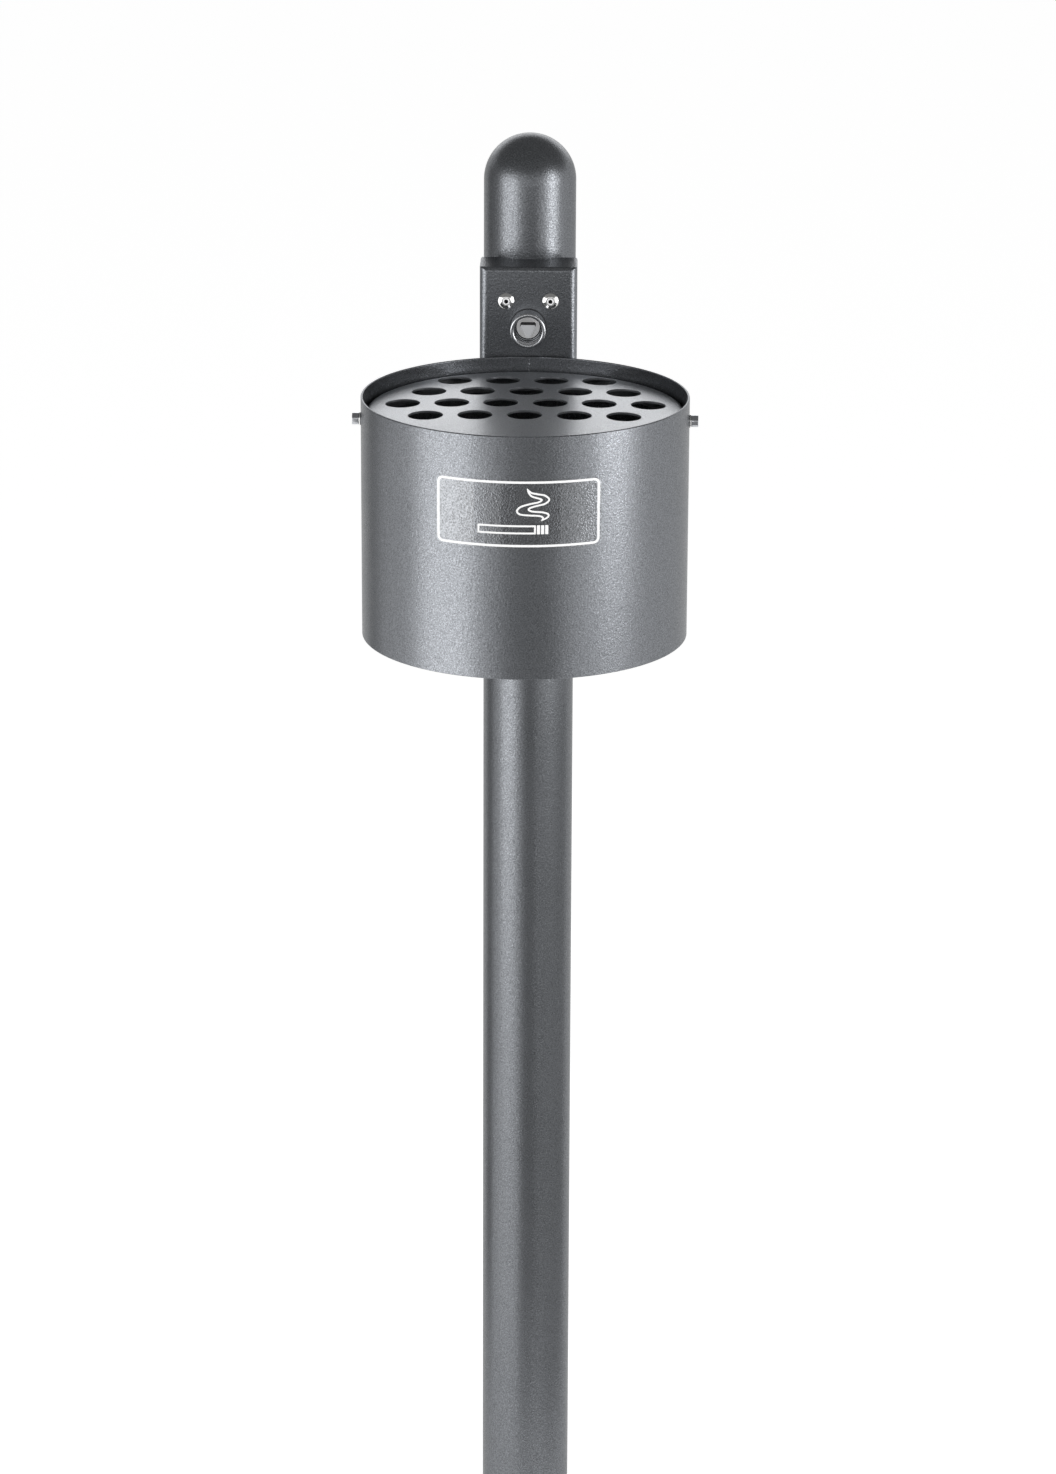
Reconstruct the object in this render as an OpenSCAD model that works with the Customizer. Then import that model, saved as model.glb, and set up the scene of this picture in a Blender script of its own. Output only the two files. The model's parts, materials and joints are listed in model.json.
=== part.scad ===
// Ashtray bin on a post: a drum with a tipping sieve, hinged to a locked carrier.
// The post axis is at x = 0, y = 0, the floor is at z = 0 and the front faces -Y.

/* [Post] */
// Outer diameter of the post tube
post_d = 60.3; // [60:0.1:60.6]
// Wall thickness of the post tube
post_wall = 2.9; // [2:0.1:4]
// Height from the floor to the top of the dome
total_h = 1100; // [1000:5:1250]
// Straight skirt of the dome cap below its hemisphere
cap_skirt = 3; // [1:0.5:10]
// Diameter of the round foot plate
base_d = 220; // [205:5:260]
// Thickness of the foot plate
base_t = 10; // [8:0.5:14]
// Pitch circle diameter of the anchor holes
anchor_pcd = 170; // [150:5:180]
// Diameter of an anchor hole
anchor_d = 14; // [11:0.5:16]
// Number of anchor holes
anchor_count = 4; // [3:1:6]

/* [Carrier] */
// Width of the carrier cover
cover_w = 63; // [63:0.5:68]
// Distance from the post axis to the front face of the cover
cover_front = 54.5; // [54:0.5:57]
// Depth of the cover from front to back
cover_depth = 32; // [31:0.5:33]
// Sheet thickness of the cover
cover_t = 2; // [1.5:0.1:2]
// Outer radius of the cover's upright bends
cover_r = 5; // [4:0.1:6]
// Outer radius of the bend along the cover's upper front edge
brow_r = 3; // [2.5:0.1:4]
// Height of the cover's top above the rim of the drum
cover_rise = 58.3; // [56:0.1:64]
// Height of the two blind rivets above the rim of the drum
rivet_rise = 36.2; // [36:0.1:38]
// Distance between the two blind rivets
rivet_pitch = 28.6; // [24:0.1:32]
// Head diameter of a blind rivet
rivet_head_d = 10.7; // [9:0.1:12]

/* [Lock] */
// Height of the lock axis above the rim of the drum
lock_rise = 19.5; // [19:0.1:20]
// Outer diameter of the lock collar
collar_d = 23; // [21:0.5:24]
// Length of the collar in front of the cover
collar_len = 14; // [13.5:0.5:16]
// Diameter of the key recess
recess_d = 18; // [17:0.5:18.5]
// Depth of the key recess
recess_depth = 12; // [10:0.5:12]
// Distance of the flats of the triangular key stud from its axis
key_flat = 3.4; // [3:0.1:3.6]
// Diameter over the rounded corners of the key stud
key_d = 11; // [10:0.1:11.5]
// Length of the key stud
key_len = 8.5; // [7:0.1:9.5]
// Reach of the cam from the lock axis
cam_reach = 28.6; // [28:0.1:29]

/* [Drum] */
// Outer diameter of the drum
drum_d = 207; // [200:1:212]
// Height of the drum
drum_h = 155; // [140:1:170]
// Wall thickness of the drum
drum_wall = 1.5; // [1.2:0.1:1.8]
// Drop from the top of the dome to the rim of the drum
rim_drop = 135.4; // [130:0.1:140]
// Gap between the cover and the back of the drum
drum_gap = 1.5; // [1.5:0.1:2]
// Distance of the hinge bolt in front of the drum's back wall
hinge_inset = 20; // [18:0.5:22]
// Distance of the hinge bolt below the drum
hinge_drop = 12; // [12:0.5:13]
// Diameter of the hinge bolt
hinge_d = 8; // [7:0.5:9]

/* [Sieve] */
// Outer diameter of the sieve
sieve_d = 200; // [196:0.5:200]
// Sheet thickness of the sieve
sieve_t = 1.5; // [1.2:0.1:1.5]
// Rise of the sieve's middle above its edge
sieve_crown = 2.1; // [1:0.1:3]
// Depth of the sieve's edge below the rim of the drum
sieve_depth = 9.1; // [8:0.1:10]
// Height of the sieve's turned-down edge
flange_h = 13; // [12:0.5:14]
// Depth of the pivot screws below the rim of the drum
pivot_depth = 15.8; // [15.7:0.1:16]
// Diameter of a sieve hole
hole_d = 22; // [18:0.5:22]
// Distance between the holes of a row
hole_pitch = 31; // [28:0.5:31]
// Distance between the rows of holes
row_pitch = 31; // [28:0.1:31.7]
// Distance of the rear row of holes behind the drum axis
rear_row = 72; // [68:0.1:72]

/* [Label] */
// Length of the label round the drum
label_w = 105.5; // [80:0.5:110]
// Height of the label
label_h = 43; // [30:0.5:50]
// Depth of the label's top edge below the rim
label_depth = 27.4; // [27:0.1:40]
// Thickness of the label film
label_t = 0.15; // [0.1:0.05:0.3]

/* [Hidden] */
$fn = 96;
eps = 0.01;
// Play of a welded or clamped seat, of a running fit and between moving pieces
seat = 0.15;
fit = 0.05;
clear = 0.3;

post_r = post_d / 2;
dome_z = total_h - post_r;
rim_z = total_h - rim_drop;
drum_r = drum_d / 2;
drum_in = drum_r - drum_wall;
drum_y = -cover_front - drum_gap - drum_r;
drum_low = rim_z - drum_h;
back_y = drum_y + drum_r;

front_y = -cover_front;
inner_y = front_y + cover_t;
rear_y = front_y + cover_depth;
cover_top = rim_z + cover_rise;
cover_low = drum_low + 8.5;
cover_in = cover_w / 2 - cover_t;
slot_w = 26;
slot_top = rim_z - 1;
slot_low = rim_z - 31;

rivet_z = rim_z + rivet_rise;
rivet_d = 4.8;
side_rivet_y = (front_y + rear_y) / 2;
side_rivet_z = cover_low + 20;
tab_t = 3;
tab_w = 44;
tab_low = rivet_z - 5;
tab_top = rivet_z + 11;

lock_z = rim_z + lock_rise;
gasket_t = 0.8;
barrel_d = 18;
barrel_end = inner_y + 5.5;
collar_y = front_y - collar_len;
floor_y = collar_y + recess_depth;
plug_d = 15;
plug_t = 2.5;
groove_at = 3;
groove_w = 1.6;
stem_d = 10;
square = 7;
lock_nut_af = 22;
lock_nut_t = 4;
cam_t = 3;
cam_y = barrel_end + 1;
cam_w = 12;
stem_end = cam_y + cam_t + 0.4;
cam_screw_d = 5;
ring_d = 1.1;

hinge_y = back_y - hinge_inset;
hinge_z = drum_low - hinge_drop;
cheek_t = 4;
cheek_out = cover_in - seat;
cheek_in = cheek_out - cheek_t;
cheek_r = hinge_drop - 2;
washer_t = 1;
ear_t = 3;
ear_out = cheek_in - washer_t - clear - seat;
hinge_af = 13;
hinge_head = 5.3;
hinge_nut_t = 7.8;

base_lift = 6;
drum_base_t = 2;
drum_base_z = drum_low + base_lift;
hook_t = 3;
hook_w = 20;
hook_top = rim_z - 6;
hook_arm = rim_z - 19;
hook_y = cam_y + cam_t + 0.6;

sieve_r = sieve_d / 2;
edge_z = rim_z - sieve_depth;
pivot_z = rim_z - pivot_depth;
flange_low = edge_z - flange_h;
pivot_d = 5;
bush_d = 8;
bush_collar_d = 9.6;
bush_collar_t = 1;
pivot_washer_t = 1;
pivot_head_d = 7.6;
pivot_head_t = 4.4;
pivot_nut_af = 8;
pivot_nut_t = 4.9;
row_counts = [4, 5, 6, 5];

buffer_d = 12;
buffer_t = 1.7;

// A bar of round section along X
module bar_x(x0, x1, d, y, z) {
    translate([x0, y, z])
        rotate([0, 90, 0])
            cylinder(h = x1 - x0, d = d);
}

// A bar of round section along Y
module bar_y(y0, y1, d, x, z) {
    translate([x, y0, z])
        rotate([-90, 0, 0])
            cylinder(h = y1 - y0, d = d);
}

// A ring along X between two positions
module ring_x(x0, x1, d_out, d_in, y, z) {
    difference() {
        bar_x(x0, x1, d_out, y, z);
        bar_x(x0 - 1, x1 + 1, d_in, y, z);
    }
}

// A ring along Y between two positions
module ring_y(y0, y1, d_out, d_in, x, z) {
    difference() {
        bar_y(y0, y1, d_out, x, z);
        bar_y(y0 - 1, y1 + 1, d_in, x, z);
    }
}

// A plate whose outline is drawn in y and z, between two x positions
module side_plate(x0, x1) {
    translate([x0, 0, 0])
        rotate([90, 0, 90])
            linear_extrude(x1 - x0)
                children();
}

// A plate whose outline is drawn in x and z, between two y positions
module front_plate(y0, y1) {
    translate([0, y1, 0])
        rotate([90, 0, 0])
            linear_extrude(y1 - y0)
                children();
}

// A hexagonal prism along X, with a corner upwards
module hex_x(x0, x1, af, y, z) {
    translate([x0, y, z])
        rotate([0, 90, 0])
            cylinder(h = x1 - x0, d = af / cos(30), $fn = 6);
}

// A hexagonal prism along Y, with flats above and below
module hex_y(y0, y1, af, x, z) {
    translate([x, y0, z])
        rotate([-90, 0, 0])
            cylinder(h = y1 - y0, d = af / cos(30), $fn = 6);
}

// A rectangle with round corners, centred in x and starting at y = 0
module round_rect(w, d, r) {
    translate([-w / 2 + r, 0])
        square([w - 2 * r, d]);
    translate([-w / 2, r])
        square([w, d - 2 * r]);
    for (x = [-1, 1], y = [r, d - r])
        translate([x * (w / 2 - r), y])
            circle(r);
}

// The post's outside, with the play of a welded seat
module post_seat() {
    translate([0, 0, drum_low - 100])
        cylinder(h = cover_top - drum_low + 200, r = post_r + seat);
}

// A blind rivet along +Z with its head on z = 0 and its grip below
module blind_rivet(grip) {
    head_h = 1.7;
    dome_r = (pow(rivet_head_d / 2, 2) + head_h * head_h) / (2 * head_h);
    ring_out = 4.8;
    ring_rise = 0.25;
    bore = 2.2;
    bulb_d = 7;
    bulb_h = 5;
    difference() {
        union() {
            intersection() {
                translate([0, 0, head_h - dome_r])
                    sphere(dome_r);
                cylinder(h = head_h, d = rivet_head_d);
            }
            cylinder(h = head_h + ring_rise, d = ring_out);
            translate([0, 0, -grip])
                cylinder(h = grip + eps, d = rivet_d);
            translate([0, 0, -grip - bulb_h])
                cylinder(h = bulb_h, d = bulb_d);
        }
        translate([0, 0, head_h - 3])
            cylinder(h = 5, d = bore);
    }
}

// Round foot plate with a chamfered edge, anchor holes and a drain hole
module base_plate() {
    chamfer = 1.5;
    drain_d = 20;
    color("#55585c")
        difference() {
            rotate_extrude()
                polygon([
                    [0, 0],
                    [base_d / 2, 0],
                    [base_d / 2, base_t - chamfer],
                    [base_d / 2 - chamfer, base_t],
                    [0, base_t]
                ]);
            for (i = [0 : anchor_count - 1])
                rotate(i * 360 / anchor_count + 180 / anchor_count)
                    translate([anchor_pcd / 2, 0, -1])
                        cylinder(h = base_t + 2, d = anchor_d);
            translate([0, 0, -1])
                cylinder(h = base_t + 2, d = drain_d);
        }
}

// Post tube standing on the foot plate
module post_tube() {
    tube_h = dome_z - cap_skirt - base_t;
    color("#55585c")
        translate([0, 0, base_t])
            difference() {
                cylinder(h = tube_h, r = post_r);
                translate([0, 0, -1])
                    cylinder(h = tube_h + 2, r = post_r - post_wall);
            }
}

// Pressed dome cap with a short skirt, welded to the top of the tube
module dome_cap() {
    color("#5b5e62")
        difference() {
            union() {
                intersection() {
                    translate([0, 0, dome_z])
                        sphere(post_r);
                    translate([0, 0, dome_z])
                        cylinder(h = post_r + 1, r = post_r + 1);
                }
                translate([0, 0, dome_z - cap_skirt])
                    cylinder(h = cap_skirt, r = post_r);
            }
            translate([0, 0, dome_z])
                sphere(post_r - post_wall);
            translate([0, 0, dome_z - cap_skirt - 1])
                cylinder(h = cap_skirt + 1, r = post_r - post_wall);
        }
}

// The cover's box shape, inset all round by its sheet thickness for the inside
module cover_block(inset, low) {
    brow = brow_r - inset;
    y0 = front_y + inset;
    depth = cover_depth - 2 * inset;
    top = cover_top - inset;
    intersection() {
        translate([0, y0, low])
            linear_extrude(top - low)
                round_rect(cover_w - 2 * inset, depth, cover_r - inset);
        side_plate(-cover_w, cover_w) {
            translate([y0 + brow, low])
                square([depth - brow, top - low]);
            translate([y0, low])
                square([depth, top - low - brow]);
            translate([y0 + brow, top - brow])
                circle(brow);
        }
    }
}

// Folded sheet cover on the front of the post, with the lock hole and the hook's slot
module carrier_cover() {
    color("#4f5256")
        difference() {
            cover_block(0, cover_low);
            cover_block(cover_t, cover_low - 1);
            post_seat();
            bar_y(front_y - 1, inner_y + 1, barrel_d + 2 * seat, 0, lock_z);
            for (side = [-1, 1]) {
                bar_y(front_y - 1, inner_y + 1, rivet_d + 2 * fit, side * rivet_pitch / 2, rivet_z);
                bar_x(side * cover_w / 2 - 5, side * cover_w / 2 + 5, rivet_d + 2 * fit,
                      side_rivet_y, side_rivet_z);
            }
            front_plate(front_y - 1, inner_y + 1)
                translate([-slot_w / 2, slot_low])
                    square([slot_w, slot_top - slot_low]);
        }
}

// Angle welded to the post inside the cover, which the front rivets hold
module carrier_bracket() {
    tab_y = inner_y + seat;
    color("#6d7074")
        difference() {
            union() {
                front_plate(tab_y, tab_y + tab_t)
                    translate([-tab_w / 2, tab_low])
                        square([tab_w, tab_top - tab_low]);
                front_plate(tab_y + tab_t - eps, -post_r * 0.6)
                    translate([-tab_w / 2, tab_top - tab_t])
                        square([tab_w, tab_t]);
            }
            post_seat();
            // Keeps the web clear of the cover's rear wall
            front_plate(rear_y - cover_t - seat, 0)
                translate([-tab_w, tab_low])
                    square([2 * tab_w, tab_top]);
            for (side = [-1, 1])
                bar_y(tab_y - 1, tab_y + tab_t + 1, rivet_d + 2 * fit, side * rivet_pitch / 2, rivet_z);
        }
}

// Outline of one console cheek: a gusset on the post, an arm to the hinge and a tongue in the cover
module cheek_outline() {
    inner_bend = cover_r - cover_t;
    tongue_rear = rear_y - cover_t - inner_bend;
    tongue_front = inner_y + inner_bend;
    tongue_top = side_rivet_z + 12;
    arm_top = hinge_z + cheek_r;
    gusset_low = hinge_z - 32;
    polygon([
        [-post_r * 0.2, gusset_low],
        [-post_r * 0.2, cover_low - seat],
        [tongue_rear, cover_low - seat],
        [tongue_rear, tongue_top],
        [tongue_front, tongue_top],
        [tongue_front, arm_top],
        [hinge_y, arm_top],
        [hinge_y, hinge_z - cheek_r]
    ]);
    translate([hinge_y, hinge_z])
        circle(cheek_r);
}

// Console welded to the post: two cheeks that carry the hinge bolt, joined by a web
module hinge_console() {
    web_y = inner_y + 3;
    web_t = 3;
    web_low = hinge_z - 12;
    web_top = side_rivet_z + 6;
    color("#4f5256")
        difference() {
            union() {
                for (side = [-1, 1])
                    side_plate(side < 0 ? -cheek_out : cheek_in, side < 0 ? -cheek_in : cheek_out)
                        cheek_outline();
                front_plate(web_y, web_y + web_t)
                    translate([-cheek_in - eps, web_low])
                        square([2 * cheek_in + 2 * eps, web_top - web_low]);
            }
            post_seat();
            bar_x(-cover_w, cover_w, hinge_d + 2 * fit, hinge_y, hinge_z);
            bar_x(-cover_w, cover_w, rivet_d + 2 * fit, side_rivet_y, side_rivet_z);
        }
}

// Blind rivets: two in the cover's front and one in each side
module cover_rivets() {
    color("#d8dadc") {
        for (side = [-1, 1]) {
            translate([side * rivet_pitch / 2, front_y, rivet_z])
                rotate([90, 0, 0])
                    blind_rivet(cover_t + seat + tab_t);
            translate([side * cover_w / 2, side_rivet_y, side_rivet_z])
                rotate([0, side * 90, 0])
                    blind_rivet(cover_t + seat + cheek_t);
        }
    }
}

// Flat gasket behind the lock collar
module lock_gasket() {
    color("#1b1b1c")
        ring_y(front_y - gasket_t, front_y, collar_d + 0.6, barrel_d + 2 * seat, 0, lock_z);
}

// Lock housing: the collar with its key recess and the threaded barrel behind it
module lock_housing() {
    lip = 0.8;
    collar_r = collar_d / 2;
    recess_r = recess_d / 2;
    pocket_r = plug_d / 2 + fit;
    bore_r = stem_d / 2 + fit;
    length = barrel_end - collar_y;
    seat_at = collar_len - gasket_t;
    pocket_at = recess_depth + plug_t + clear;
    color("#c9ccd0")
        translate([0, collar_y, lock_z])
            rotate([-90, 0, 0])
                rotate_extrude()
                    polygon([
                        [recess_r + lip, 0],
                        [collar_r - lip, 0],
                        [collar_r, lip],
                        [collar_r, seat_at],
                        [barrel_d / 2, seat_at],
                        [barrel_d / 2, length],
                        [bore_r, length],
                        [bore_r, pocket_at],
                        [pocket_r, pocket_at],
                        [pocket_r, recess_depth],
                        [recess_r, recess_depth],
                        [recess_r, lip]
                    ]);
}

// Thin hexagonal nut that clamps the lock from inside the cover
module lock_nut() {
    color("#b9bcc0")
        difference() {
            hex_y(inner_y, inner_y + lock_nut_t, lock_nut_af, 0, lock_z);
            bar_y(inner_y - 1, inner_y + lock_nut_t + 1, barrel_d + 2 * fit, 0, lock_z);
        }
}

// Plug that the key turns: triangular stud, round face, stem with a ring groove and square end
module lock_plug() {
    groove_y = floor_y + plug_t + groove_at;
    groove_d = stem_d - 2 * ring_d - 0.2;
    color("#d2d5d8")
        difference() {
            union() {
                intersection() {
                    front_plate(floor_y - key_len, floor_y + eps)
                        translate([0, lock_z])
                            rotate(-90)
                                circle(2 * key_flat, $fn = 3);
                    bar_y(floor_y - key_len - 1, floor_y + 1, key_d, 0, lock_z);
                }
                bar_y(floor_y, floor_y + plug_t, plug_d, 0, lock_z);
                bar_y(floor_y, barrel_end + 0.5, stem_d, 0, lock_z);
                front_plate(barrel_end, stem_end)
                    translate([-square / 2, lock_z - square / 2])
                        square(square);
            }
            ring_y(groove_y, groove_y + groove_w, stem_d + 2, groove_d, 0, lock_z);
            bar_y(stem_end - 9, stem_end + 1, cam_screw_d + 2 * fit, 0, lock_z);
        }
}

// Seal ring in the groove of the plug's stem
module lock_seal() {
    ring_y_mid = floor_y + plug_t + groove_at + groove_w / 2;
    color("#141414")
        translate([0, ring_y_mid, lock_z])
            rotate([-90, 0, 0])
                rotate_extrude()
                    translate([stem_d / 2 - ring_d / 2 - 0.05, 0])
                        circle(d = ring_d);
}

// Flat cam on the square of the plug, level when the drum is free
module lock_cam() {
    hub_r = 9;
    color("#a9adb1")
        difference() {
            front_plate(cam_y, cam_y + cam_t)
                translate([0, lock_z]) {
                    circle(hub_r);
                    translate([0, -cam_w / 2])
                        square([cam_reach - cam_w / 2, cam_w]);
                    translate([cam_reach - cam_w / 2, 0])
                        circle(d = cam_w);
                }
            front_plate(cam_y - 1, cam_y + cam_t + 1)
                translate([-square / 2 - fit, lock_z - square / 2 - fit])
                    square(square + 2 * fit);
        }
}

// Washer that holds the cam on the square
module cam_washer() {
    color("#b9bcc0")
        ring_y(stem_end + 0.05, stem_end + 1.25, 14, cam_screw_d + 2 * fit, 0, lock_z);
}

// Hexagon screw in the end of the plug
module cam_screw() {
    head_y = stem_end + 1.3;
    color("#b9bcc0") {
        hex_y(head_y, head_y + 3.5, 8, 0, lock_z);
        bar_y(stem_end - 8, head_y + eps, cam_screw_d, 0, lock_z);
    }
}

// Hinge bolt along X with its hexagon head on the left
module hinge_bolt() {
    color("#b4b7bb") {
        hex_x(-cheek_out - hinge_head - seat, -cheek_out - seat, hinge_af, hinge_y, hinge_z);
        bar_x(-cheek_out - seat - eps, cheek_out + hinge_nut_t + 1, hinge_d, hinge_y, hinge_z);
    }
}

// Lock nut of the hinge bolt
module hinge_nut() {
    x0 = cheek_out + seat;
    color("#b4b7bb")
        difference() {
            union() {
                hex_x(x0, x0 + hinge_nut_t - 2, hinge_af, hinge_y, hinge_z);
                bar_x(x0, x0 + hinge_nut_t, hinge_af - 1, hinge_y, hinge_z);
            }
            bar_x(x0 - 1, x0 + hinge_nut_t + 1, hinge_d + 2 * fit, hinge_y, hinge_z);
        }
}

// Friction washers between the console cheeks and the drum's hinge ears
module hinge_washers() {
    color("#26282a")
        for (side = [-1, 1]) {
            x0 = side < 0 ? -cheek_in + seat : cheek_in - seat - washer_t;
            ring_x(x0, x0 + washer_t, 17, hinge_d + 2 * fit, hinge_y, hinge_z);
        }
}

// Rubber buffers on the cover's front that the drum leans against
module rubber_buffers() {
    color("#202122")
        for (side = [-1, 1])
            bar_y(front_y - buffer_t, front_y, buffer_d, side * 18, cover_low + 32);
}

// Rolled drum wall with a hole for each pivot screw
module drum_shell() {
    ease = 0.5;
    color("#5a5d61")
        difference() {
            translate([0, drum_y, drum_low])
                rotate_extrude()
                    polygon([
                        [drum_in, 0],
                        [drum_r, 0],
                        [drum_r, drum_h - ease],
                        [drum_r - ease, drum_h],
                        [drum_in + ease, drum_h],
                        [drum_in, drum_h - ease]
                    ]);
            bar_x(-drum_d, drum_d, pivot_d + 2 * seat, drum_y, pivot_z);
        }
}

// Drum base welded inside the wall, with drain holes
module drum_base() {
    drain_d = 6;
    drain_pcd = 120;
    drain_count = 5;
    color("#5a5d61")
        translate([0, drum_y, drum_base_z])
            difference() {
                cylinder(h = drum_base_t, r = drum_in - seat);
                for (i = [0 : drain_count - 1])
                    rotate(-90 + i * 360 / drain_count)
                        translate([drain_pcd / 2, 0, -1])
                            cylinder(h = drum_base_t + 2, d = drain_d);
            }
}

// Hook welded to the back of the drum, which the cam holds
module strike_hook() {
    foot_low = hook_arm - 9;
    foot_t = 3;
    color("#5a5d61")
        difference() {
            side_plate(-hook_w / 2, hook_w / 2)
                polygon([
                    [back_y - 2, foot_low],
                    [back_y + foot_t, foot_low],
                    [back_y + foot_t, hook_arm - hook_t],
                    [hook_y + hook_t, hook_arm - hook_t],
                    [hook_y + hook_t, hook_top],
                    [hook_y, hook_top],
                    [hook_y, hook_arm],
                    [back_y - 2, hook_arm]
                ]);
            translate([0, drum_y, drum_low])
                cylinder(h = drum_h, r = drum_r + seat);
        }
}

// Bracket under the drum base with two ears on the hinge bolt
module hinge_bracket() {
    web_t = 3;
    web_top = drum_base_z - seat;
    ear_r = 9;
    web_front = hinge_y - 24;
    web_rear = hinge_y + 12;
    color("#5a5d61")
        difference() {
            union() {
                side_plate(-ear_out, ear_out)
                    translate([web_front, web_top - web_t])
                        square([web_rear - web_front, web_t]);
                for (side = [-1, 1])
                    side_plate(side < 0 ? -ear_out : ear_out - ear_t, side < 0 ? -ear_out + ear_t : ear_out) {
                        translate([hinge_y - ear_r, hinge_z])
                            square([2 * ear_r, web_top - hinge_z]);
                        translate([hinge_y, hinge_z])
                            circle(ear_r);
                    }
            }
            bar_x(-cover_w, cover_w, hinge_d + 2 * fit, hinge_y, hinge_z);
        }
}

// Angle inside the front wall on which the sieve's edge rests
module sieve_rest() {
    ledge_w = 40;
    ledge_t = 2;
    ledge_in = 9;
    leg_h = 10;
    leg_t = 1.5;
    out_r = drum_in - seat;
    top = flange_low - clear;
    color("#5a5d61")
        intersection() {
            translate([0, drum_y, top - leg_h])
                rotate_extrude()
                    polygon([
                        [out_r - leg_t, 0],
                        [out_r, 0],
                        [out_r, leg_h],
                        [out_r - ledge_in, leg_h],
                        [out_r - ledge_in, leg_h - ledge_t],
                        [out_r - leg_t, leg_h - ledge_t]
                    ]);
            translate([-ledge_w / 2, drum_y - drum_r, top - leg_h - 1])
                cube([ledge_w, drum_r / 2, leg_h + 2]);
        }
}

// Draws a piece on the right-hand pivot and its mirror image on the left
module both_pivots() {
    children();
    mirror([1, 0, 0])
        children();
}

// Socket-head screws that the sieve turns on
module pivot_screws() {
    head_x = drum_r + 0.05 + pivot_washer_t + 0.05;
    socket_af = 3;
    socket_depth = 2.5;
    tip_x = sieve_r - sieve_t - bush_collar_t - pivot_nut_t - 2;
    color("#cfd2d5")
        both_pivots()
            difference() {
                union() {
                    bar_x(tip_x, head_x + eps, pivot_d, drum_y, pivot_z);
                    bar_x(head_x, head_x + pivot_head_t, pivot_head_d, drum_y, pivot_z);
                }
                hex_x(head_x + pivot_head_t - socket_depth, head_x + pivot_head_t + 1, socket_af,
                      drum_y, pivot_z);
            }
}

// Washers under the heads of the pivot screws
module pivot_washers() {
    x0 = drum_r + 0.05;
    washer_d = 8.6;
    color("#b4b7bb")
        both_pivots()
            ring_x(x0, x0 + pivot_washer_t, washer_d, pivot_d + 2 * fit, drum_y, pivot_z);
}

// Spacers between the drum wall and the sieve's edge
module pivot_spacers() {
    x0 = sieve_r + 2 * clear;
    color("#b4b7bb")
        both_pivots()
            ring_x(x0, drum_in - 0.12, 9, pivot_d + 2 * fit, drum_y, pivot_z);
}

// Lock nuts on the inner ends of the pivot screws
module pivot_nuts() {
    x1 = sieve_r - sieve_t - bush_collar_t - 2 * clear;
    color("#b4b7bb")
        both_pivots()
            difference() {
                hex_x(x1 - pivot_nut_t, x1, pivot_nut_af, drum_y, pivot_z);
                bar_x(x1 - pivot_nut_t - 1, x1 + 1, pivot_d + 2 * fit, drum_y, pivot_z);
            }
}

// Clear label film on the front of the drum
module label_film() {
    span = label_w / drum_r * 180 / PI;
    offset_angle = 1.5;
    gap = 0.02;
    color("#e6e8ea", 0.35)
        translate([0, drum_y, rim_z - label_depth - label_h])
            rotate(-90 - offset_angle - span / 2)
                rotate_extrude(angle = span, $fn = 192)
                    translate([drum_r + gap, 0])
                        square([label_t, label_h]);
}

// Height of the sieve's dome above its edge at a radius
function dome_rise(r) = sieve_crown * (1 - pow(r / sieve_r, 2));

// Section of the sieve: the dome, a round bend and the turned-down edge
module sieve_section() {
    bend = 2.5;
    steps = 8;
    flat_r = sieve_r - bend;
    top = [for (i = [0 : steps]) [flat_r * i / steps, dome_rise(flat_r * i / steps)]];
    bend_top = dome_rise(flat_r);
    outer = [for (a = [75 : -15 : 0]) [flat_r + bend * cos(a), bend_top - bend + bend * sin(a)]];
    inner_r = bend - sieve_t;
    inner = [for (a = [0 : 15 : 75]) [flat_r + inner_r * cos(a), bend_top - bend + inner_r * sin(a)]];
    under = [for (i = [steps : -1 : 0]) [flat_r * i / steps, dome_rise(flat_r * i / steps) - sieve_t]];
    polygon(concat(
        top,
        outer,
        [[sieve_r, -flange_h], [sieve_r - sieve_t, -flange_h]],
        inner,
        under
    ));
}

// Perforated sieve with its pivot holes
module sieve_plate() {
    color("#6a6d71")
        difference() {
            translate([0, drum_y, edge_z])
                rotate_extrude()
                    sieve_section();
            for (row = [0 : len(row_counts) - 1], i = [0 : row_counts[row] - 1])
                translate([
                    (i - (row_counts[row] - 1) / 2) * hole_pitch,
                    drum_y + rear_row - row * row_pitch,
                    edge_z - 5
                ])
                    cylinder(h = 10, d = hole_d);
            bar_x(-drum_d, drum_d, bush_d + 2 * fit, drum_y, pivot_z);
        }
}

// Plastic bushes in the sieve's edge
module sieve_bushes() {
    x0 = sieve_r - sieve_t - clear;
    color("#2b2d2f")
        both_pivots()
            difference() {
                union() {
                    bar_x(x0 - eps, sieve_r + 0.2, bush_d, drum_y, pivot_z);
                    bar_x(x0 - bush_collar_t, x0, bush_collar_d, drum_y, pivot_z);
                }
                bar_x(x0 - bush_collar_t - 1, sieve_r + 2, pivot_d + 2 * fit, drum_y, pivot_z);
            }
}

base_plate();
post_tube();
dome_cap();
carrier_cover();
carrier_bracket();
hinge_console();
cover_rivets();
lock_gasket();
lock_housing();
lock_nut();
lock_plug();
lock_seal();
lock_cam();
cam_washer();
cam_screw();
hinge_bolt();
hinge_nut();
hinge_washers();
rubber_buffers();
drum_shell();
drum_base();
strike_hook();
hinge_bracket();
sieve_rest();
pivot_screws();
pivot_washers();
pivot_spacers();
pivot_nuts();
label_film();
sieve_plate();
sieve_bushes();
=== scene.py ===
"""Looks of a post-mounted ashtray bin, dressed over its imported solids.

Lengths are in metres, the front of the bin faces -Y and the floor is at z = 0.
"""

import json
import logging
import math
import random
from dataclasses import dataclass, field
from enum import Enum
from typing import Callable, Iterable, Sequence

import bmesh
import bpy
from mathutils import Matrix, Vector

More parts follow.
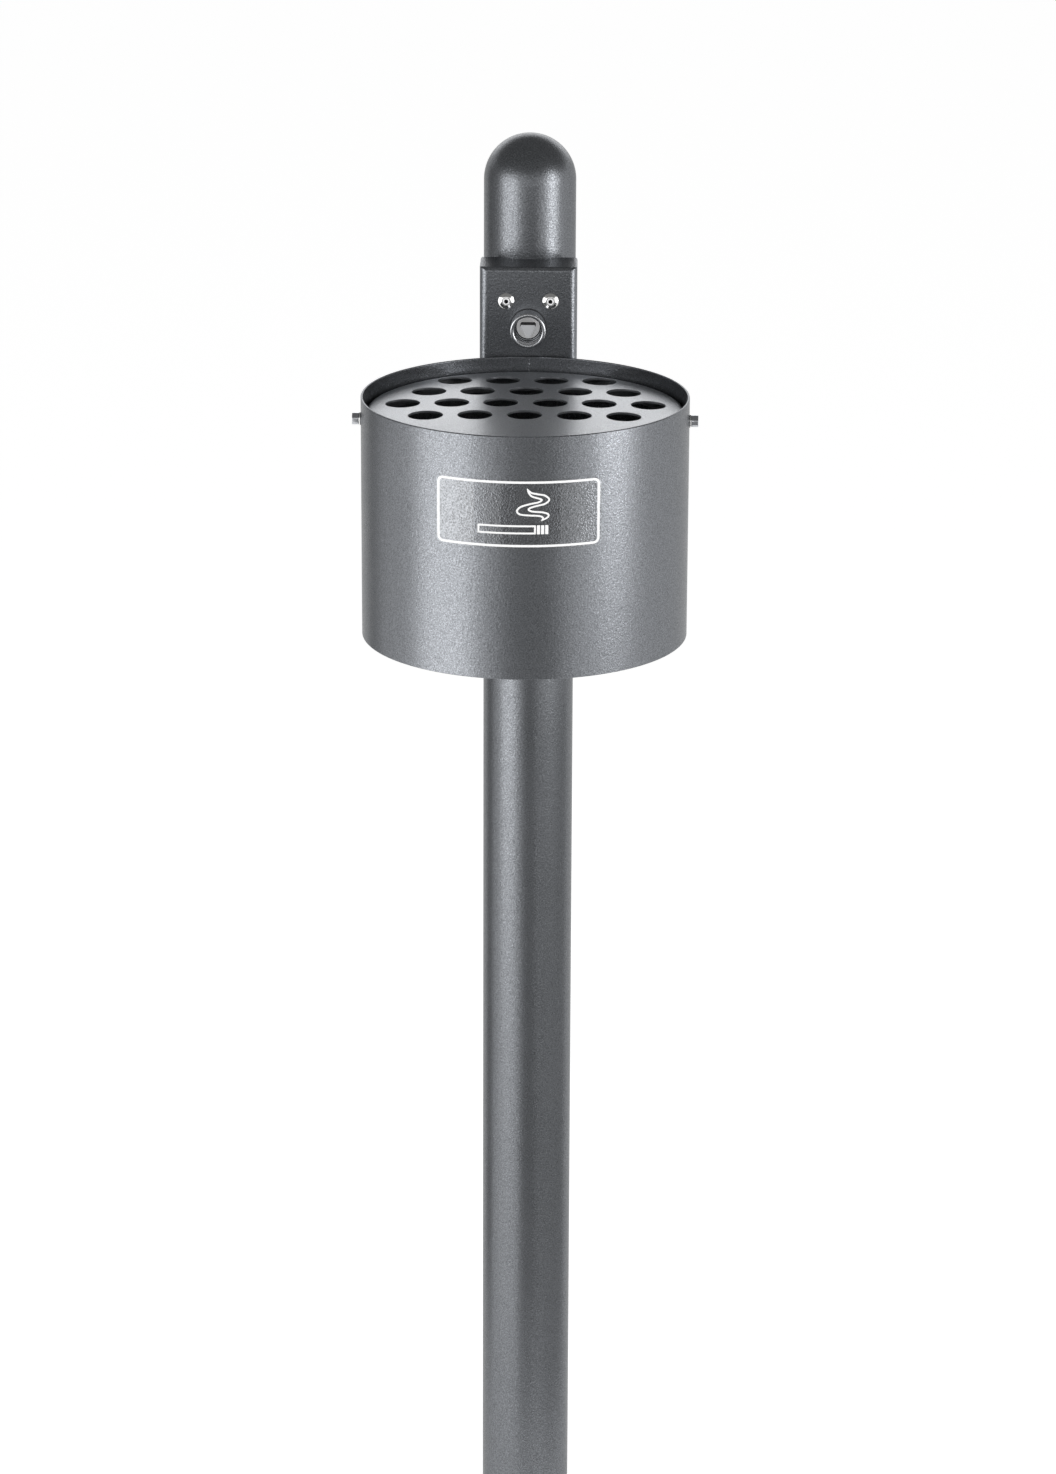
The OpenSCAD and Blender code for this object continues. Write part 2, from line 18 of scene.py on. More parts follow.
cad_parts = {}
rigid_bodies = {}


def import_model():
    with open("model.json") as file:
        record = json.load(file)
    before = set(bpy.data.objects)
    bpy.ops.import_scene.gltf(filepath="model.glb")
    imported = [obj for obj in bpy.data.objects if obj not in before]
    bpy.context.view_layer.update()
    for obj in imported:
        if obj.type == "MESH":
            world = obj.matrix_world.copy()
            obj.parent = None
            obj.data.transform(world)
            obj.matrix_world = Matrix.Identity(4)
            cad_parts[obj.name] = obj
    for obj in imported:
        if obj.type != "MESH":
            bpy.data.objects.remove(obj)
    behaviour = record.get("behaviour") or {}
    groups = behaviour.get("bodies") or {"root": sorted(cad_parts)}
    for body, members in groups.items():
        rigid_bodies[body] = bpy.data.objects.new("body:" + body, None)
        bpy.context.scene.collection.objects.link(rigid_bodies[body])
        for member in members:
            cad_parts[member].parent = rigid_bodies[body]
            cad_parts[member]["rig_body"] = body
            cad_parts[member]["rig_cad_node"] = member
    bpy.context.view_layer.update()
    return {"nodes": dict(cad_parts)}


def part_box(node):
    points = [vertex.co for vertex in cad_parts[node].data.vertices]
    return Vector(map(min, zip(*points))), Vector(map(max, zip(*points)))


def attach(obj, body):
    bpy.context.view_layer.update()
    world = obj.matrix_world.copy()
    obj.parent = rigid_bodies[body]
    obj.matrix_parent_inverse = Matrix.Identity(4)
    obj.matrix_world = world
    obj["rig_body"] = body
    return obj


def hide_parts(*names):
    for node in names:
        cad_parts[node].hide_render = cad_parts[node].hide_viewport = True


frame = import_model()

MM = 0.001
MERGE = 1e-6
RIGHT = Vector((1.0, 0.0, 0.0))
BACK = Vector((0.0, 1.0, 0.0))
UP = Vector((0.0, 0.0, 1.0))
SIDES = (-1.0, 1.0)
WHITE = (1.0, 1.0, 1.0, 1.0)
Pair = tuple[float, float]
Section = tuple[Pair, ...]
Box = tuple[Vector, Vector]
Colour = tuple[float, float, float]

logging.basicConfig(level=logging.INFO, format="%(name)s: %(message)s")
log = logging.getLogger("ashtray_bin")


def middle(box: Box) -> Vector:
    """Gives the middle of a box."""
    return Vector([(low + high) / 2 for low, high in zip(*box)])


class Body(Enum):
    """The moving bodies of the bin."""

    STAND = "stand"
    LOCK = "lock"
    DRUM = "drum"
    SIEVE = "sieve"


class Slot(Enum):
    """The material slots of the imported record."""

    COAT = "coated_steel"
    STAINLESS = "stainless"
    ZINC = "zinc_steel"
    CHROME = "lock_chrome"
    RUBBER = "black_rubber"
    NYLON = "black_nylon"
    FILM = "clear_film"


class Sheet:
    """A node tree with short calls that add and wire its nodes."""

    def __init__(self, tree: bpy.types.NodeTree) -> None:
        """Takes over a node tree.

        Args:
            tree: The tree that the nodes are added to.
        """
        self.tree = tree

    def add(self, kind: str, **settings: object) -> bpy.types.Node:
        """Adds a node.

        Args:
            kind: The node's type name.
            settings: Properties of the node to set.

        Returns:
            The new node.
        """
        node = self.tree.nodes.new(kind)
        for key, value in settings.items():
            setattr(node, key, value)
        return node

    def wire(self, source: bpy.types.NodeSocket, target: bpy.types.NodeSocket) -> None:
        """Links one socket to another."""
        self.tree.links.new(source, target)

    def feed(self, target: bpy.types.NodeSocket, value: object) -> None:
        """Sets a socket to a number, or links it if the value is a socket."""
        if isinstance(value, bpy.types.NodeSocket):
            self.wire(value, target)
        else:
            target.default_value = value

    def math(self, operation: str, first: object, second: object = 0.0) -> bpy.types.NodeSocket:
        """Adds a math node.

        Args:
            operation: The node's operation.
            first: A number or a socket.
            second: A number or a socket.

        Returns:
            The result socket.
        """
        node = self.add("ShaderNodeMath", operation=operation)
        self.feed(node.inputs[0], first)
        self.feed(node.inputs[1], second)
        return node.outputs[0]

    def noise(self, where: bpy.types.NodeSocket, scale: object, detail: float) -> bpy.types.NodeSocket:
        """Adds a noise texture.

        Args:
            where: The coordinates that it reads.
            scale: Its scale, as a number or a socket.
            detail: Its number of octaves.

        Returns:
            The socket of its grey value.
        """
        node = self.add("ShaderNodeTexNoise")
        self.wire(where, node.inputs["Vector"])
        self.feed(node.inputs["Scale"], scale)
        node.inputs["Detail"].default_value = detail
        return node.outputs["Fac"]

    def span(self, value: bpy.types.NodeSocket, old: Pair, new: Pair) -> bpy.types.NodeSocket:
        """Maps a value from one range to another.

        Args:
            value: The socket to map.
            old: The range that it comes from.
            new: The range that it goes to.

        Returns:
            The mapped socket.
        """
        node = self.add("ShaderNodeMapRange")
        self.wire(value, node.inputs["Value"])
        node.inputs["From Min"].default_value, node.inputs["From Max"].default_value = old
        node.inputs["To Min"].default_value, node.inputs["To Max"].default_value = new
        return node.outputs["Result"]

    def sway(self, value: bpy.types.NodeSocket, gain: object, rest: float = 0.5) -> bpy.types.NodeSocket:
        """Scales how far a value strays from its resting level.

        Args:
            value: The socket of the value.
            gain: The scale, as a number or a socket.
            rest: The resting level.

        Returns:
            The scaled stray.
        """
        return self.math("MULTIPLY", self.math("SUBTRACT", value, rest), gain)

    def tint(self, tone: bpy.types.NodeSocket, change: bpy.types.NodeSocket) -> bpy.types.NodeSocket:
        """Lightens or darkens a colour.

        Args:
            tone: The colour.
            change: The share that is added to it.

        Returns:
            The changed colour.
        """
        node = self.add("ShaderNodeVectorMath", operation="SCALE")
        self.wire(tone, node.inputs[0])
        self.wire(self.math("ADD", change, 1.0), node.inputs["Scale"])
        return node.outputs[0]


class Groups:
    """The shader node groups that several finishes share."""

    PEEL_DETAIL = 2.0
    FLECK_DETAIL = 1.0
    MOTTLE = 19.0
    MOTTLE_DETAIL = 2.0
    MOTTLE_TONE = 0.12
    MOTTLE_ROUGH = 0.08
    FLECK_ROUGH = -0.25
    FLECK_RELIEF = 0.35
    COAT_GLOSSIEST = 0.03
    MARK_DETAIL = 3.0
    HAIR_TURN = (0.5, 0.3, 0.9)
    HAIR_STRETCH = (1.0, 0.07, 1.0)
    HAIR_TONE = 0.18
    HAIR_ROUGH = 0.16
    SMEAR_REST = 0.45
    SMEAR_ROUGH = 0.22
    METAL_GLOSSIEST = 0.04

    @staticmethod
    def start(name: str, *numbers: str) -> tuple[Sheet, bpy.types.Node, bpy.types.Node]:
        """Starts a group that turns a tone and numbers into colour, roughness and height.

        Args:
            name: The group's name.
            numbers: Names of its number inputs.

        Returns:
            The group's sheet, its input node and its output node.
        """
        tree = bpy.data.node_groups.new(name, "ShaderNodeTree")
        sockets = [("INPUT", "Tone", "NodeSocketColor"), ("OUTPUT", "Color", "NodeSocketColor")]
        sockets += [("INPUT", label, "NodeSocketFloat") for label in numbers]
        sockets += [("OUTPUT", label, "NodeSocketFloat") for label in ("Roughness", "Height")]
        for way, label, kind in sockets:
            tree.interface.new_socket(name=label, in_out=way, socket_type=kind)
        sheet = Sheet(tree)
        return sheet, sheet.add("NodeGroupInput"), sheet.add("NodeGroupOutput")

    @staticmethod
    def coat_grain() -> bpy.types.NodeTree:
        """Orange peel, metal flecks and slow mottling of a sprayed coat.

        Returns:
            The group, built on its first use.
        """
        name = "coat_grain"
        if name in bpy.data.node_groups:
            return bpy.data.node_groups[name]
        sheet, inlet, outlet = Groups.start(name, "Gloss", "Peel", "Fleck", "Contrast")
        where = sheet.add("ShaderNodeTexCoord").outputs["Object"]
        peel = sheet.noise(where, inlet.outputs["Peel"], Groups.PEEL_DETAIL)
        fleck = sheet.noise(where, inlet.outputs["Fleck"], Groups.FLECK_DETAIL)
        mottle = sheet.noise(where, Groups.MOTTLE, Groups.MOTTLE_DETAIL)
        swing = sheet.sway(fleck, inlet.outputs["Contrast"])
        change = sheet.math("ADD", swing, sheet.sway(mottle, Groups.MOTTLE_TONE))
        sheet.wire(sheet.tint(inlet.outputs["Tone"], change), outlet.inputs["Color"])
        spread = sheet.math("ADD", inlet.outputs["Gloss"], sheet.sway(mottle, Groups.MOTTLE_ROUGH))
        rough = sheet.math("ADD", spread, sheet.sway(fleck, Groups.FLECK_ROUGH))
        sheet.wire(sheet.math("MAXIMUM", rough, Groups.COAT_GLOSSIEST), outlet.inputs["Roughness"])
        fine = sheet.math("MULTIPLY", fleck, Groups.FLECK_RELIEF)
        sheet.wire(sheet.math("ADD", peel, fine), outlet.inputs["Height"])
        return sheet.tree

    @staticmethod
    def handling() -> bpy.types.NodeTree:
        """Hairline scratches and finger smears of handled metal or plastic.

        Returns:
            The group, built on its first use.
        """
        name = "handling_marks"
        if name in bpy.data.node_groups:
            return bpy.data.node_groups[name]
        sheet, inlet, outlet = Groups.start(name, "Gloss", "Hairline", "Smear")
        where = sheet.add("ShaderNodeTexCoord").outputs["Object"]
        stretch = sheet.add("ShaderNodeMapping")
        stretch.inputs["Rotation"].default_value = Groups.HAIR_TURN
        stretch.inputs["Scale"].default_value = Groups.HAIR_STRETCH
        sheet.wire(where, stretch.inputs["Vector"])
        hair = sheet.noise(stretch.outputs["Vector"], inlet.outputs["Hairline"], Groups.MARK_DETAIL)
        smear = sheet.noise(where, inlet.outputs["Smear"], Groups.MARK_DETAIL)
        change = sheet.sway(hair, Groups.HAIR_TONE)
        sheet.wire(sheet.tint(inlet.outputs["Tone"], change), outlet.inputs["Color"])
        smudge = sheet.sway(smear, Groups.SMEAR_ROUGH, Groups.SMEAR_REST)
        dull = sheet.math("ADD", inlet.outputs["Gloss"], smudge)
        rough = sheet.math("ADD", dull, sheet.sway(hair, Groups.HAIR_ROUGH))
        sheet.wire(sheet.math("MAXIMUM", rough, Groups.METAL_GLOSSIEST), outlet.inputs["Roughness"])
        sheet.wire(hair, outlet.inputs["Height"])
        return sheet.tree


@dataclass(frozen=True)
class Finish:
    """A finish with its own material, made on its first use."""

    name: str
    tone: Colour
    gloss: float

    def material(self) -> bpy.types.Material:
        """Returns the material of this finish."""
        made = bpy.data.materials.get(self.name)
        if made is None:
            made = bpy.data.materials.new(self.name)
            made.use_nodes = True
            sheet = Sheet(made.node_tree)
            self.paint(sheet, made.node_tree.nodes["Principled BSDF"])
        return made

    def paint(self, sheet: Sheet, shader: bpy.types.Node) -> None:
        """Wires the finish's own nodes.

        Args:
            sheet: The material's nodes.
            shader: The material's surface shader.
        """
        raise NotImplementedError

    def surface(self, sheet: Sheet, shader: bpy.types.Node, group: bpy.types.NodeTree,
                values: dict[str, float], relief: float) -> None:
        """Places a shared group and wires it to colour, roughness and relief.

        Args:
            sheet: The material's nodes.
            shader: The material's surface shader.
            group: The shared group.
            values: The group's own values by input name.
            relief: Depth of the relief.
        """
        grain = sheet.add("ShaderNodeGroup", node_tree=group)
        grain.inputs["Tone"].default_value = (*self.tone, 1.0)
        grain.inputs["Gloss"].default_value = self.gloss
        for key, value in values.items():
            grain.inputs[key].default_value = value
        bump = sheet.add("ShaderNodeBump")
        bump.inputs["Strength"].default_value = 1.0
        bump.inputs["Distance"].default_value = relief
        sheet.wire(grain.outputs["Color"], shader.inputs["Base Color"])
        sheet.wire(grain.outputs["Roughness"], shader.inputs["Roughness"])
        sheet.wire(grain.outputs["Height"], bump.inputs["Height"])
        sheet.wire(bump.outputs["Normal"], shader.inputs["Normal"])


@dataclass(frozen=True)
class SprayedCoat(Finish):
    """A sprayed metallic coat with orange peel and fine flecks."""

    metal: float = 0.9
    rim: float = 0.68
    peel: float = 720.0
    fleck: float = 1300.0
    contrast: float = 1.6
    relief: float = 0.132 * MM
    clear: float = 0.0

    def paint(self, sheet: Sheet, shader: bpy.types.Node) -> None:
        """Wires the coat's grain to the shader."""
        shader.inputs["Metallic"].default_value = self.metal
        shader.inputs["Specular Tint"].default_value = (self.rim, self.rim, self.rim, 1.0)
        shader.inputs["Coat Weight"].default_value = self.clear
        values = {"Peel": self.peel, "Fleck": self.fleck, "Contrast": self.contrast}
        self.surface(sheet, shader, Groups.coat_grain(), values, self.relief)


@dataclass(frozen=True)
class BareMetal(Finish):
    """Bare or plated metal with hairlines and smears."""

    metal: float = 1.0
    hairline: float = 900.0
    smear: float = 60.0
    relief: float = 0.004 * MM

    def paint(self, sheet: Sheet, shader: bpy.types.Node) -> None:
        """Wires the handling marks to the shader."""
        shader.inputs["Metallic"].default_value = self.metal
        values = {"Hairline": self.hairline, "Smear": self.smear}
        self.surface(sheet, shader, Groups.handling(), values, self.relief)


@dataclass(frozen=True)
class Moulded(Finish):
    """Moulded rubber, plastic or dry ink with a faint grain."""

    hairline: float = 500.0
    smear: float = 120.0
    relief: float = 0.02 * MM
    # An emission that makes the part glow though it is no lamp: painted light.
    glow: float = 0.0

    def paint(self, sheet: Sheet, shader: bpy.types.Node) -> None:
        """Wires the handling marks and the painted glow to the shader."""
        shader.inputs["Emission Color"].default_value = WHITE
        shader.inputs["Emission Strength"].default_value = self.glow
        values = {"Hairline": self.hairline, "Smear": self.smear}
        self.surface(sheet, shader, Groups.handling(), values, self.relief)


COAT = SprayedCoat("grey_coat", (0.186, 0.194, 0.207), 0.31)
# A darker copy of the coat for the post, its cap, foot and weld: painted shade.
SHADED_POST_COAT = SprayedCoat("grey_coat_post", (0.164, 0.171, 0.182), 0.31)
# A lighter copy of the coat for the sieve. Its own gloss, metal and grain are real; its lighter tone is
# painted light.
LIT_PLATE_COAT = SprayedCoat("grey_coat_plate", (0.252, 0.263, 0.281), 0.34, metal=0.75, rim=1.0, contrast=0.8,
                         relief=0.06 * MM)
STAINLESS = BareMetal("stainless_steel", (0.78, 0.78, 0.77), 0.15)
# A darker copy of the stainless for the pivot screws: painted shade that dims their reflections.
SHADED_SCREW = BareMetal("screw_steel", (0.46, 0.47, 0.49), 0.16)
ZINC = BareMetal("zinc_plate", (0.52, 0.53, 0.55), 0.3)
CHROME = BareMetal("lock_chrome_plate", (0.6, 0.61, 0.63), 0.22)
# A darker copy of the lock chrome for the wall of the key recess: painted shade.
SHADED_RECESS = BareMetal("lock_recess_wall", (0.46, 0.47, 0.49), 0.16)
CAST = BareMetal("lock_cast_face", (0.74, 0.75, 0.77), 0.5, metal=0.3, relief=0.03 * MM)
# A pale face that glows, for the plug's face and the rivet hubs: the glow is painted light.
GLOWING_PALE = Moulded("lock_pale_face", (0.93, 0.93, 0.94), 0.5, relief=0.03 * MM, glow=0.2)
# Near black, for the linings of the rivet bores, the flanks of the lock's stud and the ring round the plug:
# painted shade.
SHADE_BLACK = BareMetal("rivet_stem_steel", (0.03, 0.03, 0.032), 0.55, metal=0.6)
RUBBER = Moulded("rubber_black", (0.014, 0.014, 0.015), 0.62)
NYLON = Moulded("nylon_black", (0.022, 0.022, 0.024), 0.4)
FILM = SprayedCoat("label_clear_film", (0.165, 0.172, 0.183), 0.1, peel=950.0, fleck=950.0, contrast=2.0,
                   relief=0.22 * MM, clear=1.0)
# White print ink that glows: the glow is painted light.
GLOWING_INK = Moulded("label_white_ink", (0.94, 0.94, 0.94), 0.42, relief=0.002 * MM, glow=0.2)


def arc(centre: Pair, radius: float, start: float, end: float, steps: int) -> list[Pair]:
    """Makes the points of an arc in a section.

    Args:
        centre: Middle of the arc, as radius and height.
        radius: The arc's own radius.
        start: First angle in degrees, counted from outwards towards upwards.
        end: Last angle in degrees.
        steps: Number of chords.

    Returns:
        The points from start to end.
    """
    turns = [math.radians(start + (end - start) * i / steps) for i in range(steps + 1)]
    return [(centre[0] + radius * math.cos(t), centre[1] + radius * math.sin(t)) for t in turns]


def flowing(points: Sequence[Pair], steps: int) -> list[Pair]:
    """Runs a smooth line through points.

    Args:
        points: The points that the line passes.
        steps: Number of chords from one point to the next.

    Returns:
        The points of the line.
    """
    ends = [points[0], *points, points[-1]]
    line = [points[0]]
    for group in zip(ends, ends[1:], ends[2:], ends[3:]):
        for i in range(1, steps + 1):
            t = i / steps
            x, y = (
                q + 0.5 * t * ((r - p) + t * ((2 * p - 5 * q + 4 * r - s) + t * (3 * q - p - 3 * r + s)))
                for p, q, r, s in zip(*group)
            )
            line.append((x, y))
    return line


class Bench:
    """The modelling bench: operators that start, shape and finish a piece."""

    @staticmethod
    def pick(*objs: bpy.types.Object) -> None:
        """Makes these objects the only selected ones, the last one active."""
        if bpy.context.object and bpy.context.object.mode != "OBJECT":
            bpy.ops.object.mode_set(mode="OBJECT")
        bpy.ops.object.select_all(action="DESELECT")
        for obj in objs:
            obj.select_set(True)
            bpy.context.view_layer.objects.active = obj

    @staticmethod
    def edit(obj: bpy.types.Object, kind: str = "VERT") -> None:
        """Opens an object for editing with everything selected.

        Args:
            obj: The object.
            kind: The select mode.
        """
        Bench.pick(obj)
        bpy.ops.object.mode_set(mode="EDIT")
        bpy.ops.mesh.select_mode(type=kind)
        bpy.ops.mesh.select_all(action="SELECT")

    @staticmethod
    def leave() -> None:
        """Goes back to object mode."""
        bpy.ops.object.mode_set(mode="OBJECT")

    @staticmethod
    def select_faces(obj: bpy.types.Object, test: Callable[[bmesh.types.BMFace], bool]) -> None:
        """Selects the faces that pass a test, in edit mode."""
        bpy.ops.mesh.select_mode(type="FACE")
        bpy.ops.mesh.select_all(action="DESELECT")
        mesh = bmesh.from_edit_mesh(obj.data)
        for face in mesh.faces:
            if test(face):
                face.select_set(True)
        bmesh.update_edit_mesh(obj.data)

    @staticmethod
    def select_edges(obj: bpy.types.Object, test: Callable[[Vector, Vector], bool]) -> None:
        """Selects the edges whose two ends pass a test, in edit mode."""
        bpy.ops.mesh.select_mode(type="EDGE")
        bpy.ops.mesh.select_all(action="DESELECT")
        mesh = bmesh.from_edit_mesh(obj.data)
        for edge in mesh.edges:
            if test(edge.verts[0].co, edge.verts[1].co):
                edge.select_set(True)
        bmesh.update_edit_mesh(obj.data)

    @staticmethod
    def apply(obj: bpy.types.Object, kind: str, **settings: object) -> None:
        """Adds a modifier and applies it.

        Args:
            obj: The object.
            kind: The modifier's type.
            settings: Properties of the modifier to set.
        """
        Bench.pick(obj)
        bpy.ops.object.modifier_add(type=kind)
        modifier = obj.modifiers[-1]
        for key, value in settings.items():
            setattr(modifier, key, value)
        bpy.ops.object.modifier_apply(modifier=modifier.name)

    @staticmethod
    def settle(obj: bpy.types.Object) -> None:
        """Puts an object's place into its mesh."""
        Bench.pick(obj)
        bpy.ops.object.transform_apply(location=True, rotation=True, scale=True)

    @staticmethod
    def smooth(obj: bpy.types.Object, sharp: float = 35.0) -> None:
        """Shades an object smooth, with sharp edges above an angle in degrees."""
        Bench.pick(obj)
        bpy.ops.object.shade_smooth_by_angle(angle=math.radians(sharp))
        Bench.apply(obj, "WEIGHTED_NORMAL", keep_sharp=True)

    @staticmethod
    def point(name: str, where: Vector) -> bpy.types.Object:
        """Starts a piece as a single vertex, open for editing.

        Args:
            name: The piece's name.
            where: The vertex's place.

        Returns:
            The new object.
        """
        Bench.pick()
        bpy.ops.mesh.primitive_plane_add(size=MM, location=where)
        obj = bpy.context.object
        obj.name = name
        Bench.edit(obj)
        bpy.ops.mesh.merge(type="CENTER")
        return obj

    @staticmethod
    def trace(name: str, points: Sequence[Vector]) -> bpy.types.Object:
        """Draws a line of vertices, open for editing.

        Args:
            name: The piece's name.
            points: The line's corners.

        Returns:
            The new object.
        """
        obj = Bench.point(name, points[0])
        for last, then in zip(points, points[1:]):
            bpy.ops.mesh.extrude_vertices_move(TRANSFORM_OT_translate={"value": then - last})
        return obj

    @staticmethod
    def lathe(name: str, section: Sequence[Pair], origin: Vector, axis: Vector, steps: int,
              shut: bool = True) -> bpy.types.Object:
        """Turns a section round an axis.

        Args:
            name: The piece's name.
            section: Points as radius and height along the axis.
            origin: The point of the axis at height 0.
            axis: Direction of the axis.
            steps: Number of facets round the axis.
            shut: Whether the last point joins the first one.

        Returns:
            The new object, with its place in its mesh.
        """
        side = axis.orthogonal().normalized()
        points = [origin + side * r + axis * h for r, h in section]
        if shut:
            points.append(points[0])
        obj = Bench.trace(name, points)
        bpy.ops.mesh.select_all(action="SELECT")
        bpy.ops.mesh.spin(steps=steps, angle=2 * math.pi, center=origin, axis=axis)
        Bench.close(obj)
        return obj

    @staticmethod
    def close(obj: bpy.types.Object) -> None:
        """Merges doubles, turns the faces outwards and settles the object."""
        bpy.ops.mesh.select_all(action="SELECT")
        bpy.ops.mesh.remove_doubles(threshold=MERGE)
        bpy.ops.mesh.delete_loose(use_faces=False)
        bpy.ops.mesh.select_all(action="SELECT")
        bpy.ops.mesh.normals_make_consistent(inside=False)
        Bench.leave()
        Bench.settle(obj)

    @staticmethod
    def rod(radius: float, ends: tuple[Vector, Vector], steps: int = 64) -> bpy.types.Object:
        """Makes a plain rod to cut with.

        Args:
            radius: The rod's radius.
            ends: The middles of its two ends.
            steps: Number of facets.

        Returns:
            The new object.
        """
        along = ends[1] - ends[0]
        Bench.pick()
        bpy.ops.mesh.primitive_cylinder_add(
            vertices=steps,
            radius=radius,
            depth=along.length,
            location=(ends[0] + ends[1]) / 2,
            rotation=along.to_track_quat("Z", "Y").to_euler(),
        )
        obj = bpy.context.object
        Bench.settle(obj)
        return obj

    @staticmethod
    def drill(radius: float, spot: Vector, reach: Vector, steps: int = 64) -> bpy.types.Object:
        """Makes a rod that cuts a hole through a wall.

        Args:
            radius: The hole's radius.
            spot: A point of the hole's axis in the wall.
            reach: Way and length that the rod reaches to both sides of it.
            steps: Number of facets.

        Returns:
            The new object.
        """
        return Bench.rod(radius, (spot - reach, spot + reach), steps)

    @staticmethod
    def block(low: Vector, high: Vector) -> bpy.types.Object:
        """Makes a plain block between two corners.

        Args:
            low: The lowest corner.
            high: The highest corner.

        Returns:
            The new object.
        """
        Bench.pick()
        bpy.ops.mesh.primitive_cube_add(size=1.0, location=(low + high) / 2, scale=high - low)
        obj = bpy.context.object
        Bench.settle(obj)
        return obj

    @staticmethod
    def cut(obj: bpy.types.Object, tools: Iterable[bpy.types.Object]) -> None:
        """Cuts tools out of an object and throws them away.

        Args:
            obj: The object to cut.
            tools: The shapes to take out of it.
        """
        for tool in tools:
            Bench.apply(obj, "BOOLEAN", operation="DIFFERENCE", object=tool, solver="EXACT")
            Bench.scrap(tool)

    @staticmethod
    def break_edges(obj: bpy.types.Object, width: float, sharp: float = 60.0) -> None:
        """Rounds the edges above an angle in degrees.

        Args:
            obj: The object.
            width: Width of the rounding.
            sharp: The angle.
        """
        Bench.apply(obj, "BEVEL", width=width, segments=2, limit_method="ANGLE",
                    angle_limit=math.radians(sharp))

    @staticmethod
    def scrap(obj: bpy.types.Object) -> None:
        """Deletes an object."""
        Bench.pick(obj)
        bpy.ops.object.delete()

    @staticmethod
    def join(name: str, objs: Sequence[bpy.types.Object]) -> bpy.types.Object:
        """Joins several objects into one.

        Args:
            name: Name of the joined object.
            objs: The objects.

        Returns:
            The joined object.
        """
        Bench.pick(*objs)
        bpy.ops.object.join()
        obj = bpy.context.object
        obj.name = name
        return obj

    @staticmethod
    def copy(obj: bpy.types.Object, name: str) -> bpy.types.Object:
        """Copies an object with a mesh of its own.

        Args:
            obj: The object.
            name: Name of the copy.

        Returns:
            The copy.
        """
        Bench.pick(obj)
        bpy.ops.object.duplicate(linked=False)
        twin = bpy.context.object
        twin.name = name
        return twin


def place(obj: bpy.types.Object, body: Body, finish: Finish, slot: Slot, *nodes: str) -> None:
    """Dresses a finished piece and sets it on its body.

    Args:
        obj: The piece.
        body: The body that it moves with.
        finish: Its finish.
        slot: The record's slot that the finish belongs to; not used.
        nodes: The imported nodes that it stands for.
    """
    obj.data.name = obj.name
    obj.data.materials.clear()
    obj.data.materials.append(finish.material())
    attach(obj, body.value)
    if nodes:
        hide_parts(*nodes)
    log.info("%s on %s, %d faces", obj.name, body.value, len(obj.data.polygons))


@dataclass(frozen=True)
class WeldBead:
    """A weld bead of overlapping scales along a line."""

    radius: float
    seed: int
    step: float = 0.6
    voxel: float = 0.45 * MM
    sizes: Pair = (0.86, 1.06)
    melt: float = 0.5
    melts: int = 2
    sharp: float = 60.0

    def build(self, name: str, points: Sequence[Vector]) -> bpy.types.Object:
        """Lays the bead.

        Args:
            name: The bead's name.
            points: The line that it follows, in close steps.

        Returns:
            The bead.
        """
        draw = random.Random(self.seed)
        Bench.pick()
        bpy.ops.mesh.primitive_ico_sphere_add(subdivisions=2, radius=self.radius)
        scale = bpy.context.object
        scales = []
        gap = self.radius * self.step
        since = gap
        for last, then in zip(points, points[1:]):
            since += (then - last).length
            if since < gap:
                continue
            since = 0.0
            twin = Bench.copy(scale, name)
            size = draw.uniform(*self.sizes)
            twin.scale = (size, size, size)
            twin.location = then
            scales.append(twin)
        Bench.scrap(scale)
        bead = Bench.join(name, scales)
        Bench.settle(bead)
        Bench.apply(bead, "REMESH", mode="VOXEL", voxel_size=self.voxel)
        Bench.apply(bead, "SMOOTH", factor=self.melt, iterations=self.melts)
        Bench.smooth(bead, self.sharp)
        return bead


def pivot_drills(axis: Vector, pivots: Box, radius: float, bore: float, reach: float,
                 facets: int = 32) -> list[bpy.types.Object]:
    """Makes the rods that cut the two pivot holes of a round piece.

    Args:
        axis: The point of the piece's axis at floor height.
        pivots: The box of the pivot screws.
        radius: The piece's radius.
        bore: Radius of the holes.
        reach: Length that the rods reach to both sides of the wall.
        facets: Number of facets of a rod.

    Returns:
        The left and the right rod.
    """
    spots = [axis + UP * middle(pivots).z + RIGHT * side * radius for side in SIDES]
    return [Bench.drill(bore, spot, RIGHT * reach, facets) for spot in spots]


